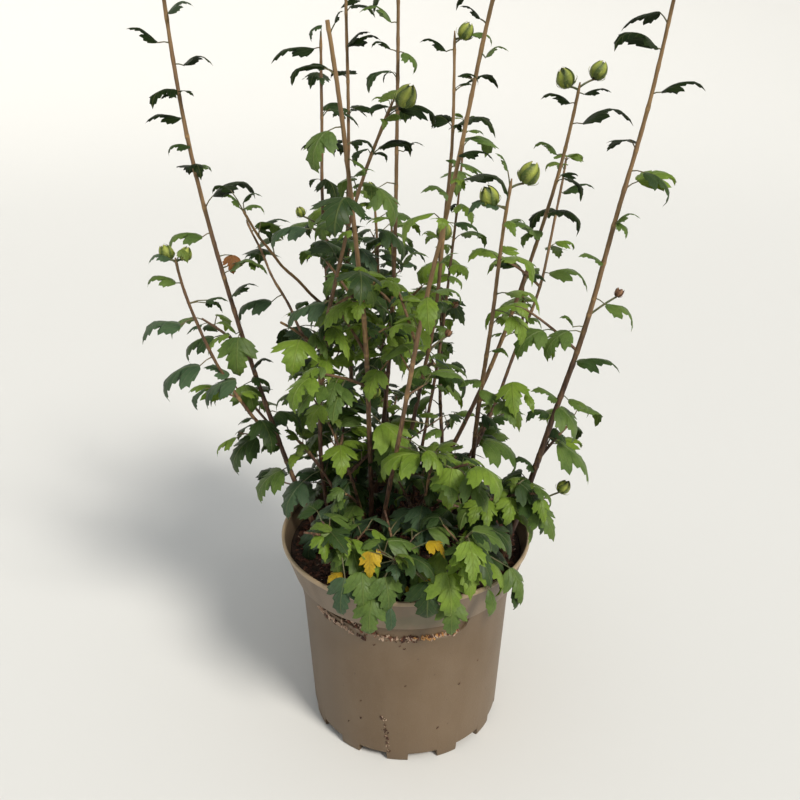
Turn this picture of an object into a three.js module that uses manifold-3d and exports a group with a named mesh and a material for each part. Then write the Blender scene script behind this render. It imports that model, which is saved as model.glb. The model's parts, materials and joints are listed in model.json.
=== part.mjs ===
import * as THREE from 'three';
import { mergeVertices } from 'three/addons/utils/BufferGeometryUtils.js';
import Module from 'manifold-3d';

const wasm = await Module();
wasm.setup();

// A hibiscus shrub of many slim canes, in a round nursery pot.
// Millimetres, +Z up. The origin is the middle of the pot's flat underside.
// The usual view looks along +Y, with +X to the right.

// Pot sizes
const potHeight = 260;
const rimRadius = 150;
const wallThickness = 2.5;
const floorThickness = 3;
const potSides = 36;

// The lip is a band round the top edge that stands out from the collar
const lipThickness = 3.5;
const lipDepth = 5;
const lipStandOut = 1.5;

// The collar flares out above a small ledge in the wall
const collarBottomRadius = 136;
const collarBottomHeight = 213;
const ledgeDepth = 3.5;
const ledgeSlope = 1;

// Below the ledge the wall narrows to the foot, faster above its waist
const waistRadius = 127;
const waistHeight = 178;
const footRadius = 119;
const footHeight = 6;
const footRingWidth = 12;
const footBevel = 3;

// The pot stands on short feet round its edge and on a pad in the middle
const footCount = 12;
const footWidth = 26;
const footTurn = THREE.MathUtils.degToRad(-65);
const centrePadRadius = 20;
const centrePadSides = 12;

// Two finger grips are pressed into the wall under the ledge, front and back.
// Behind them the wall is thicker, all the way round.
const gripHeight = 21;
const gripFloorRadius = 127.5;
const gripTopHeight = 212.5;
const gripHalfAngle = THREE.MathUtils.degToRad(33);
const gripCurveSteps = 5;
const thickWallInsideRadius = 123.5;
const thickWallTop = 212;
const thickWallBottom = 186;

// Drain holes in the floor of the pot
const drainCount = 4;
const drainRadius = 6;
const drainRing = 72;
const drainSides = 6;

// How far a cutting shape runs on past what it cuts
const cutMargin = 1;

// Compost fills the pot to a little below the rim, and a small gap keeps it off the wall
const soilHeight = 238;
const clearGap = 0.3;
const soilWallGap = 0.7;

// Every cane is one smooth bow from its foot on the compost to its tip.
// foot: x, y. tip: x, y, height. bow: how far its middle stands off the straight line, x, y.
// thick: across at the foot. thin: across at the tip. bare: the share of it below its leaves.
// twigs: how many side twigs it carries. side: the way its first leaf points, in degrees.
// buds: share of the cane's length, direction in degrees, stalk length, bud width.
const canes = [
  { name: 'far_left', foot: [-105, 5], tip: [-240, 40, 885], bow: [-27, 0], thick: 7, thin: 4.2,
    bare: 0.15, twigs: 2, side: 170, buds: [[0.36, 200, 22, 9]] },
  { name: 'back_left', foot: [-84, 85], tip: [-95, 150, 810], bow: [-8, 12], thick: 6.5, thin: 3.8,
    bare: 0.3, twigs: 4, side: 190, buds: [[0.55, 220, 40, 11]] },
  { name: 'left_middle', foot: [-92, 30], tip: [-12, -60, 757], bow: [-38, 0], thick: 6.5, thin: 3.5,
    bare: 0.32, twigs: 4, side: 240, buds: [[0.98, 330, 13, 20]] },
  { name: 'pruned', foot: [-43, 20], tip: [-68, -100, 822], bow: [11, 0], thick: 7.2, thin: 4.4,
    bare: 0.34, twigs: 3, side: 160, buds: [[0.35, 300, 16, 13]] },
  { name: 'back_tall', foot: [-70, 110], tip: [-68, 205, 930], bow: [-2, 14], thick: 6.5, thin: 3.8,
    bare: 0.3, twigs: 4, side: 20, buds: [] },
  { name: 'middle_tall', foot: [-42, 65], tip: [-11, 105, 955], bow: [14, 0], thick: 7, thin: 3.6,
    bare: 0.3, twigs: 4, side: 200, buds: [] },
  { name: 'middle_right', foot: [-28, 15], tip: [47, 35, 812], bow: [22, 0], thick: 6.5, thin: 3.3,
    bare: 0.3, twigs: 1, side: 300, buds: [[0.985, 340, 7, 16], [0.42, 20, 26, 8]] },
  { name: 'front_tall', foot: [-34, -25], tip: [84, -170, 930], bow: [-6, -10], thick: 6.5, thin: 3.4,
    bare: 0.38, twigs: 1, side: 350, buds: [] },
  { name: 'back_thin', foot: [6, 75], tip: [71, 190, 715], bow: [10, 10], thick: 5.5, thin: 3,
    bare: 0.3, twigs: 1, side: 30, buds: [[0.52, 350, 12, 8]] },
  { name: 'right_short', foot: [79, 42], tip: [95, -90, 690], bow: [-5, -10], thick: 7.5, thin: 3.5,
    bare: 0.32, twigs: 1, side: 210, buds: [[0.98, 10, 13, 20], [0.935, 200, 14, 19]] },
  { name: 'right_long', foot: [4, 40], tip: [182, 70, 762], bow: [28, 8], thick: 7, thin: 4,
    bare: 0.38, twigs: 1, side: 180, buds: [[0.985, 200, 12, 20], [0.99, 20, 19, 19]] },
  { name: 'far_right', foot: [114, -30], tip: [247, -25, 880], bow: [13, -6], thick: 8.5, thin: 3.6,
    bare: 0.14, twigs: 2, side: 180, buds: [[0.47, 10, 34, 9], [0.3, 5, 50, 15]] },
  { name: 'back_right', foot: [50, 95], tip: [45, 225, 560], bow: [0, 20], thick: 6.5, thin: 3.5,
    bare: 0.32, twigs: 2, side: 60, buds: [[0.97, 70, 14, 22]] },
  { name: 'back_middle', foot: [-20, 105], tip: [-40, 205, 620], bow: [0, 20], thick: 6.5, thin: 3.5,
    bare: 0.32, twigs: 3, side: 120, buds: [[0.97, 110, 14, 20]] },
];

// Branches leave a cane part of the way up it.
// from: the parent cane. share: how far up the parent it leaves.
const branches = [
  { name: 'left_low', from: 'far_left', share: 0.19, tip: [-224, -75, 612], bow: [-17, -6],
    thick: 4.8, thin: 3.2, bare: 0.14, twigs: 0, side: 190,
    buds: [[0.98, 150, 10, 17], [0.99, 10, 10, 16]] },
  { name: 'left_cross', from: 'back_left', share: 0.45, tip: [-171, 10, 640], bow: [-9, 0],
    thick: 4.5, thin: 3, bare: 0.35, twigs: 0, side: 140, buds: [] },
  { name: 'left_inner', from: 'left_middle', share: 0.45, tip: [-180, 75, 616], bow: [-2, 0],
    thick: 4.2, thin: 2.8, bare: 0.3, twigs: 1, side: 200, buds: [] },
  { name: 'right_back', from: 'right_short', share: 0.28, tip: [188, 145, 675], bow: [16, 4],
    thick: 5, thin: 3.2, bare: 0.35, twigs: 2, side: 20, buds: [] },
];

// Short leafy shoots round the foot of the canes. Those at the front hang over the rim of the pot.
// turn: the way it leans, in degrees. reach: how far out its tip is. height: of its tip.
const lowShoots = [
  { name: 'low_front', turn: -95, reach: 154, height: 318 },
  { name: 'low_front_right', turn: -62, reach: 148, height: 326 },
  { name: 'low_front_left', turn: -122, reach: 146, height: 325 },
  { name: 'low_right', turn: -22, reach: 136, height: 348 },
  { name: 'low_back_right', turn: 34, reach: 128, height: 385 },
  { name: 'low_back', turn: 100, reach: 144, height: 350 },
  { name: 'low_back_left', turn: 140, reach: 128, height: 385 },
  { name: 'low_left', turn: 178, reach: 122, height: 372 },
  { name: 'inner_left', turn: -168, reach: 92, height: 415 },
  { name: 'inner_front', turn: -70, reach: 84, height: 400 },
];

// What all the low shoots have in common. footShare: how far out each starts, as a share of its reach.
const lowShootHabit = {
  footShare: 0.5, bowShare: -0.06, thick: 4.8, thin: 2.8, bare: 0.2, twigs: 3, buds: [],
  leafStep: 16, twigTop: 440, steps: 2,
};

// What all the canes and branches have in common. leafStep: from leaf to leaf along the cane.
// twigTop: the height above which no side twig starts. steps: straight runs in its curve.
const caneHabit = { leafStep: 38, twigTop: 560, steps: 4 };

// A cane from the compost is thicker at its very foot
const footFlare = 0.18;
const footFlareShare = 0.03;
const caneSides = 6;
const stemSides = 3;

// Leaves get smaller and stand flatter towards the top of the shrub
const crownHeight = 930;
const lowLeafLength = 54;
const highLeafLength = 39;
const lowLeafDroop = THREE.MathUtils.degToRad(52);
const highLeafDroop = THREE.MathUtils.degToRad(24);

// The shape of a leaf, in shares of its length
const leafStalkShare = 0.32;
const leafShoulderShare = 0.4;
const leafTipShare = 0.56;
const leafTipHang = 0.1;
const leafWidthShare = 0.74;
const leafThickness = 1.6;
const leafRootRadius = 1.3;
const rootShareOfStem = 0.42;

// How leaves sit on a stem. The lean is the angle between the stalk and the stem.
const goldenAngle = THREE.MathUtils.degToRad(137.5);
const leafStemStart = 8;
const leafStemEnd = 6;
const leafTurnRange = [-0.25, 0.25];
const leafLeanRange = [0.8, 1.15];
const leafScaleRange = [0.85, 1.1];
const leafDroopRange = [-0.2, 0.2];
const leafTries = 6;
const leafLift = 0.16;

// Side twigs, and the leaves on them as share of the twig and lean
const twigLength = 74;
const twigThick = 3.6;
const twigThin = 2.6;
const twigSides = 3;
const twigSteps = 2;
const twigSag = 0.12;
const twigTries = 4;
const twigFirstTurn = 1.1;
const twigZoneLimit = 0.85;
const twigPlaceRange = [0.3, 0.7];
const twigLengthRange = [0.75, 1.15];
const twigRiseRange = [0.5, 0.95];
const twigLeaves = [[0.45, 0.9], [0.72, 1.0], [0.96, 0.35]];
const twigLeafScale = 0.95;
const twigLeafDroop = 0.05;

// Buds and dry seed cases
const budRise = 0.75;
const budLength = 1.15;
const budStalkRadius = 1.4;
const budStalkShare = 0.9;

// How clear a new leaf or twig stays of all else
const massGap = 0.6;

// Seeds of the random numbers
const firstSeed = 101;
const seedStep = 37;

const colours = {
  pot: 0x7b6751,
  soil: 0x3a251a,
  cane: 0x6e5439,
  leaf: 0x557a33,
};

function material(colour, roughness) {
  return new THREE.MeshStandardMaterial({ color: colour, roughness, metalness: 0 });
}

const potMaterial = material(colours.pot, 0.6);
const soilMaterial = material(colours.soil, 0.95);
const caneMaterial = material(colours.cane, 0.8);
const leafMaterial = material(colours.leaf, 0.55);

// One small generator of even random numbers, so that the shrub grows the same each time
function seededRandom(seed) {
  let state = seed;
  return () => {
    state = (state * 48271) % 2147483647;
    return state / 2147483647;
  };
}

function between(low, high, share) {
  return low + (high - low) * share;
}

function pick(random, [low, high]) {
  return between(low, high, random());
}

// Solids

function toSolid(geometry) {
  const bare = geometry.clone();
  bare.deleteAttribute('normal');
  bare.deleteAttribute('uv');
  const merged = mergeVertices(bare, 1e-4);
  const mesh = new wasm.Mesh({
    numProp: 3,
    vertProperties: new Float32Array(merged.attributes.position.array),
    triVerts: new Uint32Array(merged.index.array),
  });
  return new wasm.Manifold(mesh);
}

function toMesh(name, solid, surface) {
  const data = solid.getMesh();
  const geometry = new THREE.BufferGeometry();
  geometry.setAttribute('position', new THREE.BufferAttribute(data.vertProperties, 3));
  geometry.setIndex(new THREE.BufferAttribute(data.triVerts, 1));
  geometry.computeVertexNormals();
  const mesh = new THREE.Mesh(geometry, surface);
  mesh.name = name;
  return mesh;
}

// A turned shape about +Z from points of radius and height that start and end on the axis
function turned(profile, sides) {
  const geometry = new THREE.LatheGeometry(profile.map(([r, z]) => new THREE.Vector2(r, z)), sides);
  geometry.rotateX(Math.PI / 2);
  return toSolid(geometry);
}

function upright(radius, bottom, top, sides) {
  const geometry = new THREE.CylinderGeometry(radius, radius, top - bottom, sides);
  geometry.rotateX(Math.PI / 2);
  geometry.translate(0, 0, (bottom + top) / 2);
  return geometry;
}

// Pot

// The outside from the middle of the underside up to the lip, then the inside down to the floor
function potProfile() {
  const lipBottom = potHeight - lipDepth;
  const footInside = footRadius - footRingWidth;
  return [
    [0, footHeight],
    [footInside, footHeight],
    [footInside, 0],
    [footRadius - footBevel, 0],
    [footRadius, footBevel],
    [waistRadius, waistHeight],
    [collarBottomRadius - ledgeDepth, collarBottomHeight - ledgeSlope],
    [collarBottomRadius, collarBottomHeight],
    [rimRadius - lipStandOut, lipBottom - ledgeSlope],
    [rimRadius, lipBottom],
    [rimRadius, potHeight],
    [rimRadius - lipThickness, potHeight],
    [rimRadius - lipStandOut - wallThickness, lipBottom - ledgeSlope],
    [collarBottomRadius - wallThickness, collarBottomHeight + wallThickness],
    [thickWallInsideRadius, thickWallTop],
    [thickWallInsideRadius, thickWallBottom],
    [waistRadius - 2 * wallThickness, waistHeight],
    [footRadius - wallThickness, footHeight + floorThickness],
    [0, footHeight + floorThickness],
  ];
}

// The gap between two feet, cut through the ring under the wall
function footGap(index) {
  const pitch = (2 * Math.PI) / footCount;
  const gapWidth = pitch * footRadius - footWidth;
  const box = new THREE.BoxGeometry(3 * footRingWidth, gapWidth, footHeight + cutMargin);
  box.translate(footRadius - footRingWidth / 2, 0, (footHeight - cutMargin) / 2);
  box.rotateZ(footTurn + (index + 0.5) * pitch);
  return toSolid(box);
}

function gripRecess(middleAngle) {
  const start = middleAngle - gripHalfAngle;
  const end = middleAngle + gripHalfAngle;
  const outline = new THREE.Shape();
  outline.absarc(0, 0, rimRadius, start, end, false);
  outline.absarc(0, 0, gripFloorRadius, end, start, true);
  outline.closePath();
  const geometry = new THREE.ExtrudeGeometry(outline, {
    depth: gripHeight, bevelEnabled: false, curveSegments: gripCurveSteps,
  });
  geometry.translate(0, 0, gripTopHeight - gripHeight);
  return toSolid(geometry);
}

function drainHole(index) {
  const angle = (index * 2 * Math.PI) / drainCount;
  const top = footHeight + floorThickness + cutMargin;
  const hole = upright(drainRadius, footHeight - cutMargin, top, drainSides);
  hole.translate(drainRing * Math.cos(angle), drainRing * Math.sin(angle), 0);
  return toSolid(hole);
}

function makePot() {
  let solid = turned(potProfile(), potSides);
  for (let i = 0; i < footCount; i += 1) {
    solid = solid.subtract(footGap(i));
  }
  for (let i = 0; i < drainCount; i += 1) {
    solid = solid.subtract(drainHole(i));
  }
  solid = solid.subtract(gripRecess(-Math.PI / 2));
  solid = solid.subtract(gripRecess(Math.PI / 2));
  return solid.add(toSolid(upright(centrePadRadius, 0, footHeight + cutMargin, centrePadSides)));
}

// The compost follows the inside of the pot
function makeSoil() {
  const gap = wallThickness + soilWallGap;
  const bottom = footHeight + floorThickness + clearGap;
  const collarTop = potHeight - lipDepth - ledgeSlope;
  const rise = (soilHeight - collarBottomHeight) / (collarTop - collarBottomHeight);
  const topRadius = between(collarBottomRadius, rimRadius - lipStandOut, rise) - gap - soilWallGap;
  return turned([
    [0, bottom],
    [footRadius - gap, bottom],
    [waistRadius - wallThickness - gap, waistHeight],
    [thickWallInsideRadius - soilWallGap, thickWallBottom],
    [thickWallInsideRadius - soilWallGap, thickWallTop + soilWallGap],
    [collarBottomRadius - gap, collarBottomHeight + wallThickness + soilWallGap],
    [topRadius, soilHeight],
    [0, soilHeight],
  ], potSides);
}

// Limbs

function point(values) {
  return new THREE.Vector3(values[0], values[1], values[2]);
}

function bowedCurve(foot, tip, bow) {
  const knee = foot.clone().add(tip).multiplyScalar(0.5);
  knee.x += 2 * bow[0];
  knee.y += 2 * bow[1];
  return new THREE.QuadraticBezierCurve3(foot, knee, tip);
}

// How many millimetres of a curve a share of 1 would cover at the pace that it has at this share
function speedAt(curve, share) {
  const step = 0.001;
  return curve.getPoint(share).distanceTo(curve.getPoint(share + step)) / step;
}

// Two directions square to a limb at a share of its length
function squareTo(curve, share) {
  const along = curve.getTangent(share);
  const reference = new THREE.Vector3(0, 1, 0);
  const side = new THREE.Vector3().crossVectors(reference, along).normalize();
  const other = new THREE.Vector3().crossVectors(along, side).normalize();
  return { along, side, other };
}

// A cylinder bent to follow a curve between two shares of it, thinner towards its end
function taperedLimb(curve, from, to, radiusAt, sides, steps) {
  const geometry = new THREE.CylinderGeometry(1, 1, 1, sides, steps);
  const position = geometry.attributes.position;
  for (let i = 0; i < position.count; i += 1) {
    const share = between(from, to, position.getY(i) + 0.5);
    const radius = radiusAt(share);
    const { side, other } = squareTo(curve, share);
    const place = curve.getPoint(share);
    place.addScaledVector(side, position.getZ(i) * radius);
    place.addScaledVector(other, position.getX(i) * radius);
    position.setXYZ(i, place.x, place.y, place.z);
  }
  return toSolid(geometry);
}

// A limb's sections are joined by straight runs, and what grows on it is rooted on those runs
function placeOnRuns({ curve, from, to, steps }, share) {
  const run = Math.min(steps - 1e-6, ((share - from) / (to - from)) * steps);
  const before = Math.floor(run);
  const start = curve.getPoint(between(from, to, before / steps));
  const end = curve.getPoint(between(from, to, (before + 1) / steps));
  return start.lerp(end, run - before);
}

function axisSolid({ curve, from, to, steps, radiusAt }, sides) {
  return taperedLimb(curve, from, to, radiusAt, sides, steps);
}

function caneRadius(cane) {
  const flare = cane.from ? 0 : footFlare * cane.thick;
  return (share) => between(cane.thick, cane.thin, share) / 2 + flare * Math.exp(-share / footFlareShare);
}

// Everything that has grown so far, each with its box for a quick first test
const grown = [];

function remember(solid) {
  const box = solid.boundingBox();
  return { solid, min: box.min, max: box.max };
}

function boxesMeet(a, b, gap) {
  return [0, 1, 2].every((k) => a.min[k] - gap < b.max[k] && b.min[k] - gap < a.max[k]);
}

// Whether a new part of a mass stands clear of all but the stem or twig that bears it
function isClear(candidate, mass, bearer) {
  const others = [...mass.parts, ...grown.filter((other) => other !== mass.stem)];
  return others.every((other) => other === bearer || !boxesMeet(candidate, other, massGap)
    || candidate.solid.minGap(other.solid, 2 * massGap) > massGap);
}

// Leaves

// A leaf is a three-sided cone laid out flat: its base ring is the root of the stalk,
// its middle ring the wide shoulders with the rib between them, and its point the tip.
function leafSolid(root, rootRadius, stalkWay, bladeWay, length) {
  const up = new THREE.Vector3(0, 0, 1);
  const across = new THREE.Vector3().crossVectors(bladeWay, up).normalize();
  const face = new THREE.Vector3().crossVectors(across, bladeWay).normalize();
  const stalkFace = new THREE.Vector3().crossVectors(across, stalkWay).normalize();
  const shoulder = root.clone()
    .addScaledVector(stalkWay, length * leafStalkShare)
    .addScaledVector(bladeWay, length * leafShoulderShare);
  const tip = shoulder.clone()
    .addScaledVector(bladeWay, length * leafTipShare)
    .addScaledVector(up, -length * leafTipHang);

  const geometry = new THREE.ConeGeometry(1, 1, 3, 2);
  const middleRingHalfWidth = 0.5 * Math.sin((2 * Math.PI) / 3);
  const position = geometry.attributes.position;
  for (let i = 0; i < position.count; i += 1) {
    const x = position.getX(i);
    const z = position.getZ(i);
    const ring = Math.round(2 * position.getY(i) + 1);
    let place = tip;
    if (ring === 0) {
      place = root.clone()
        .addScaledVector(across, x * rootRadius)
        .addScaledVector(stalkFace, z * rootRadius);
    } else if (ring === 1) {
      place = shoulder.clone()
        .addScaledVector(across, (x / middleRingHalfWidth) * (leafWidthShare / 2) * length)
        .addScaledVector(face, z > 0 ? leafThickness : 0);
    }
    position.setXYZ(i, place.x, place.y, place.z);
  }
  return toSolid(geometry);
}

// How far up the crown a height is, from 0 at the compost to 1 at its top
function crownShare(height) {
  const share = (height - soilHeight) / (crownHeight - soilHeight);
  return THREE.MathUtils.clamp(share, 0, 1);
}

// The stalk of a leaf leans out from its stem, and its blade hangs down from the end of the stalk
function leafDirections({ along, side, other }, turn, lean, droop) {
  const stalkWay = side.clone().multiplyScalar(Math.cos(turn))
    .addScaledVector(other, Math.sin(turn))
    .multiplyScalar(Math.sin(lean))
    .addScaledVector(along, Math.cos(lean));
  const bladeWay = new THREE.Vector3(stalkWay.x, stalkWay.y, 0)
    .normalize()
    .multiplyScalar(Math.cos(droop));
  bladeWay.z = -Math.sin(droop);
  return { stalkWay: stalkWay.normalize(), bladeWay };
}

// A leaf on a stem or twig. It turns on round the stem and lifts its blade until it finds room,
// or is left out.
function growLeaf(mass, bearer, axis, leaf) {
  const root = placeOnRuns(axis, leaf.share);
  const frame = squareTo(axis.curve, leaf.share);
  const height = crownShare(root.z);
  const length = between(lowLeafLength, highLeafLength, height) * leaf.scale;
  const rootRadius = Math.min(leafRootRadius, rootShareOfStem * axis.radiusAt(leaf.share));
  for (let attempt = 0; attempt < leafTries; attempt += 1) {
    const turn = leaf.turn + attempt * goldenAngle;
    const droop = between(lowLeafDroop, highLeafDroop, height) + leaf.droop - attempt * leafLift;
    const { stalkWay, bladeWay } = leafDirections(frame, turn, leaf.lean, droop);
    const blade = remember(leafSolid(root, rootRadius, stalkWay, bladeWay, length));
    if (isClear(blade, mass, bearer)) {
      mass.parts.push(blade);
      return;
    }
  }
}

// A bud or dry seed case on its stalk
function growBud(mass, [share, degrees, stalkLength, width]) {
  const root = placeOnRuns(mass.axis, share);
  const angle = THREE.MathUtils.degToRad(degrees);
  const way = new THREE.Vector3(Math.cos(angle), Math.sin(angle), budRise).normalize();
  const middle = root.clone().addScaledVector(way, stalkLength + width / 2);
  const ball = new THREE.IcosahedronGeometry(width / 2, 0);
  ball.scale(1, 1, budLength);
  ball.translate(middle.x, middle.y, middle.z);
  const stalkCurve = bowedCurve(root, middle, [0, 0]);
  const stalk = taperedLimb(stalkCurve, 0, budStalkShare, () => budStalkRadius, twigSides, 1);
  const bud = remember(toSolid(ball).add(stalk));
  if (isClear(bud, mass, mass.stem)) {
    mass.parts.push(bud);
  }
}

// Twigs

function twigRadius(share) {
  return between(twigThick, twigThin, share) / 2;
}

// A side twig. It turns on round the stem until it finds room, or is left out.
function growTwig(mass, { share, turn, length, rise }) {
  const root = placeOnRuns(mass.axis, share);
  for (let attempt = 0; attempt < twigTries; attempt += 1) {
    const angle = turn + attempt * goldenAngle;
    const way = new THREE.Vector3(Math.cos(angle), Math.sin(angle), Math.tan(rise)).normalize();
    const knee = root.clone().addScaledVector(way, 0.5 * length);
    const tip = root.clone().addScaledVector(way, length);
    tip.z -= twigSag * length;
    const curve = new THREE.QuadraticBezierCurve3(root, knee, tip);
    const axis = { curve, from: 0, to: 1, steps: twigSteps, radiusAt: twigRadius };
    const solid = remember(axisSolid(axis, twigSides));
    if (isClear(solid, mass, mass.stem)) {
      mass.parts.push(solid);
      return { axis, solid };
    }
  }
  return null;
}

// Three leaves on a twig: two on its sides and one at its end
function dressTwig(mass, twig, firstTurn) {
  twigLeaves.forEach(([share, lean], k) => {
    const turn = firstTurn + k * Math.PI;
    const leaf = { share, lean, turn, scale: twigLeafScale, droop: twigLeafDroop };
    growLeaf(mass, twig.solid, twig.axis, leaf);
  });
}

// The stem of a mass of leaves carries a cane on from where its limb ends
function startMass(cane) {
  const from = cane.bare + clearGap / speedAt(cane.curve, cane.bare);
  const axis = { curve: cane.curve, from, to: 1, steps: cane.steps, radiusAt: caneRadius(cane) };
  const stem = remember(axisSolid(axis, stemSides));
  const firstTurn = THREE.MathUtils.degToRad(cane.side);
  return { cane, axis, stem, firstTurn, parts: [stem] };
}

function growStemLeaves(mass, random) {
  const { cane, axis, stem } = mass;
  const length = cane.curve.getLength();
  const leafyLength = (1 - cane.bare) * length - leafStemStart - leafStemEnd;
  const leafCount = Math.floor(leafyLength / cane.leafStep) + 1;
  for (let i = 0; i < leafCount; i += 1) {
    growLeaf(mass, stem, axis, {
      share: cane.bare + (leafStemStart + i * cane.leafStep) / length,
      turn: mass.firstTurn + i * goldenAngle + pick(random, leafTurnRange),
      lean: pick(random, leafLeanRange),
      scale: pick(random, leafScaleRange),
      droop: pick(random, leafDroopRange),
    });
  }
}

function growTwigs(mass, random) {
  const { cane, axis } = mass;
  const leafyLength = (1 - cane.bare) * cane.curve.getLength();
  const stemBottom = placeOnRuns(axis, axis.from).z;
  const twigZone = Math.min(twigZoneLimit, (cane.twigTop - stemBottom) / leafyLength);
  for (let i = 0; i < cane.twigs; i += 1) {
    const place = (twigZone * (i + pick(random, twigPlaceRange))) / cane.twigs;
    const twig = growTwig(mass, {
      share: between(cane.bare, 1, place),
      turn: mass.firstTurn + twigFirstTurn + i * goldenAngle,
      length: twigLength * pick(random, twigLengthRange),
      rise: pick(random, twigRiseRange),
    });
    const leafTurn = 2 * Math.PI * random();
    if (twig) {
      dressTwig(mass, twig, leafTurn);
    }
  }
}

// A mass grows buds, leaves all the way up its stem, and side twigs with leaves of their own
function growMass(mass) {
  const random = seededRandom(mass.cane.seed);
  mass.cane.buds.forEach((bud) => growBud(mass, bud));
  growStemLeaves(mass, random);
  growTwigs(mass, random);
  return biggestBody(wasm.Manifold.union(mass.parts.map((part) => part.solid)));
}

// The largest piece of a solid, without loose scraps, its sealed hollows filled
function biggestBody(solid) {
  const bodies = solid.decompose().filter((body) => body.volume() > 0);
  bodies.sort((a, b) => b.volume() - a.volume());
  return bodies[0];
}

// The room that a cane and its stem take up, with the small gap that a branch keeps from them
function roomAround({ curve, bare, steps }, radiusAt) {
  const room = (share) => radiusAt(share) + clearGap / Math.cos(Math.PI / caneSides);
  const lower = taperedLimb(curve, 0, bare, room, caneSides, steps);
  return lower.add(taperedLimb(curve, bare, 1, room, caneSides, steps));
}

// The limb of a cane or branch, from its foot to where its leaves begin. A branch stops clear of
// its parent, and a cane stops clear of the compost.
function makeLimb(cane) {
  const limb = taperedLimb(cane.curve, 0, cane.bare, caneRadius(cane), caneSides, cane.steps);
  if (cane.parent) {
    return biggestBody(limb.subtract(roomAround(cane.parent, caneRadius(cane.parent))));
  }
  const ground = new THREE.BoxGeometry(2 * rimRadius, 2 * rimRadius, soilHeight);
  ground.translate(0, 0, soilHeight / 2 + clearGap);
  return biggestBody(limb.subtract(toSolid(ground)));
}

// The list of everything that grows, with its curve

function plantedCanes() {
  return canes.map((cane) => {
    const foot = point([cane.foot[0], cane.foot[1], soilHeight]);
    return { ...cane, curve: bowedCurve(foot, point(cane.tip), cane.bow), ...caneHabit };
  });
}

function plantedBranches(parents) {
  return branches.map((branch) => {
    const parent = parents.find((cane) => cane.name === branch.from);
    const foot = parent.curve.getPoint(branch.share);
    const curve = bowedCurve(foot, point(branch.tip), branch.bow);
    return { ...branch, parent, curve, ...caneHabit };
  });
}

function plantedLowShoots() {
  const { footShare, bowShare } = lowShootHabit;
  return lowShoots.map(({ name, turn, reach, height }) => {
    const angle = THREE.MathUtils.degToRad(turn);
    const outward = new THREE.Vector3(Math.cos(angle), Math.sin(angle), 0);
    const foot = outward.clone().multiplyScalar(footShare * reach).setZ(soilHeight);
    const tip = outward.clone().multiplyScalar(reach).setZ(height);
    const curve = bowedCurve(foot, tip, [bowShare * tip.x, bowShare * tip.y]);
    return { name, curve, side: turn, ...lowShootHabit };
  });
}

const shrub = new THREE.Group();

function addPart(name, solid, surface) {
  grown.push(remember(solid));
  shrub.add(toMesh(name, solid, surface));
}

addPart('pot', makePot(), potMaterial);
addPart('compost', makeSoil(), soilMaterial);

const canesFromSoil = plantedCanes();
const allCanes = [...canesFromSoil, ...plantedBranches(canesFromSoil), ...plantedLowShoots()];
allCanes.forEach((cane, i) => {
  cane.seed = firstSeed + seedStep * i;
  addPart(`cane_${cane.name}`, makeLimb(cane), caneMaterial);
});

// All stems stand before the first leaf grows, so that no leaf is in the way of a stem
const masses = allCanes.map((cane) => startMass(cane));
grown.push(...masses.map((mass) => mass.stem));
masses.forEach((mass) => {
  addPart(`leaves_${mass.cane.name}`, growMass(mass), leafMaterial);
});

export default shrub;
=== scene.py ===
import json
import math

import bmesh
import bpy
import numpy as np
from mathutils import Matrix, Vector
from mathutils import noise as lumps

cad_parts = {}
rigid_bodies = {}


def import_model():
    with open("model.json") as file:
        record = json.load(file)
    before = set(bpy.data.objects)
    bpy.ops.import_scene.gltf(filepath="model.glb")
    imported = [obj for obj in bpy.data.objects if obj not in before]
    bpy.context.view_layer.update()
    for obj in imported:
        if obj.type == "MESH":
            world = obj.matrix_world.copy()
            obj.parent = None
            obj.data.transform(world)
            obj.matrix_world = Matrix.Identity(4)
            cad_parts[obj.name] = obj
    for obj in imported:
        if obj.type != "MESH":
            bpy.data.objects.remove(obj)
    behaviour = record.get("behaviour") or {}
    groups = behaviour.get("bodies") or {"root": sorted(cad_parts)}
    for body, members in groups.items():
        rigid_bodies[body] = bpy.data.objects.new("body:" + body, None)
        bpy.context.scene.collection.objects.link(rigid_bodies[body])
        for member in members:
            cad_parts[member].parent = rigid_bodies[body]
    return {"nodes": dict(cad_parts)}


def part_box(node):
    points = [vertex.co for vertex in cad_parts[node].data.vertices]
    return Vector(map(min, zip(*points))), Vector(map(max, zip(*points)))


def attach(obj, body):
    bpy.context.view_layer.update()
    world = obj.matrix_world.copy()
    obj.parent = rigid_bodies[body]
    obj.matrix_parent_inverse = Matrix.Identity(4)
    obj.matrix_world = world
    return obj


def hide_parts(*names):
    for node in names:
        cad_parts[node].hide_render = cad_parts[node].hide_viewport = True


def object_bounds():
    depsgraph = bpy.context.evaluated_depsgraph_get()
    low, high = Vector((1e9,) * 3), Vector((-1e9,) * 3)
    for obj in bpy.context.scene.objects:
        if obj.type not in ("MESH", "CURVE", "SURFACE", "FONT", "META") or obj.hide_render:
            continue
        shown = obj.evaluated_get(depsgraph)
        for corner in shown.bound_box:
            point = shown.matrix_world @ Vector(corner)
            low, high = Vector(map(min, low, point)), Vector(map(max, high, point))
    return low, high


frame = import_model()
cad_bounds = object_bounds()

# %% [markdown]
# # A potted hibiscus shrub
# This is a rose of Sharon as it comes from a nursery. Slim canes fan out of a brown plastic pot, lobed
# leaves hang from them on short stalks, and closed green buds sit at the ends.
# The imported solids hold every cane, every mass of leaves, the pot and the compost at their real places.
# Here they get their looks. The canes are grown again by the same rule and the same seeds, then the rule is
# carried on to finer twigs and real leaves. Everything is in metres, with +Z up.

MM = 1000
UP = Vector((0, 0, 1))
scene = bpy.context.scene


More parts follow.
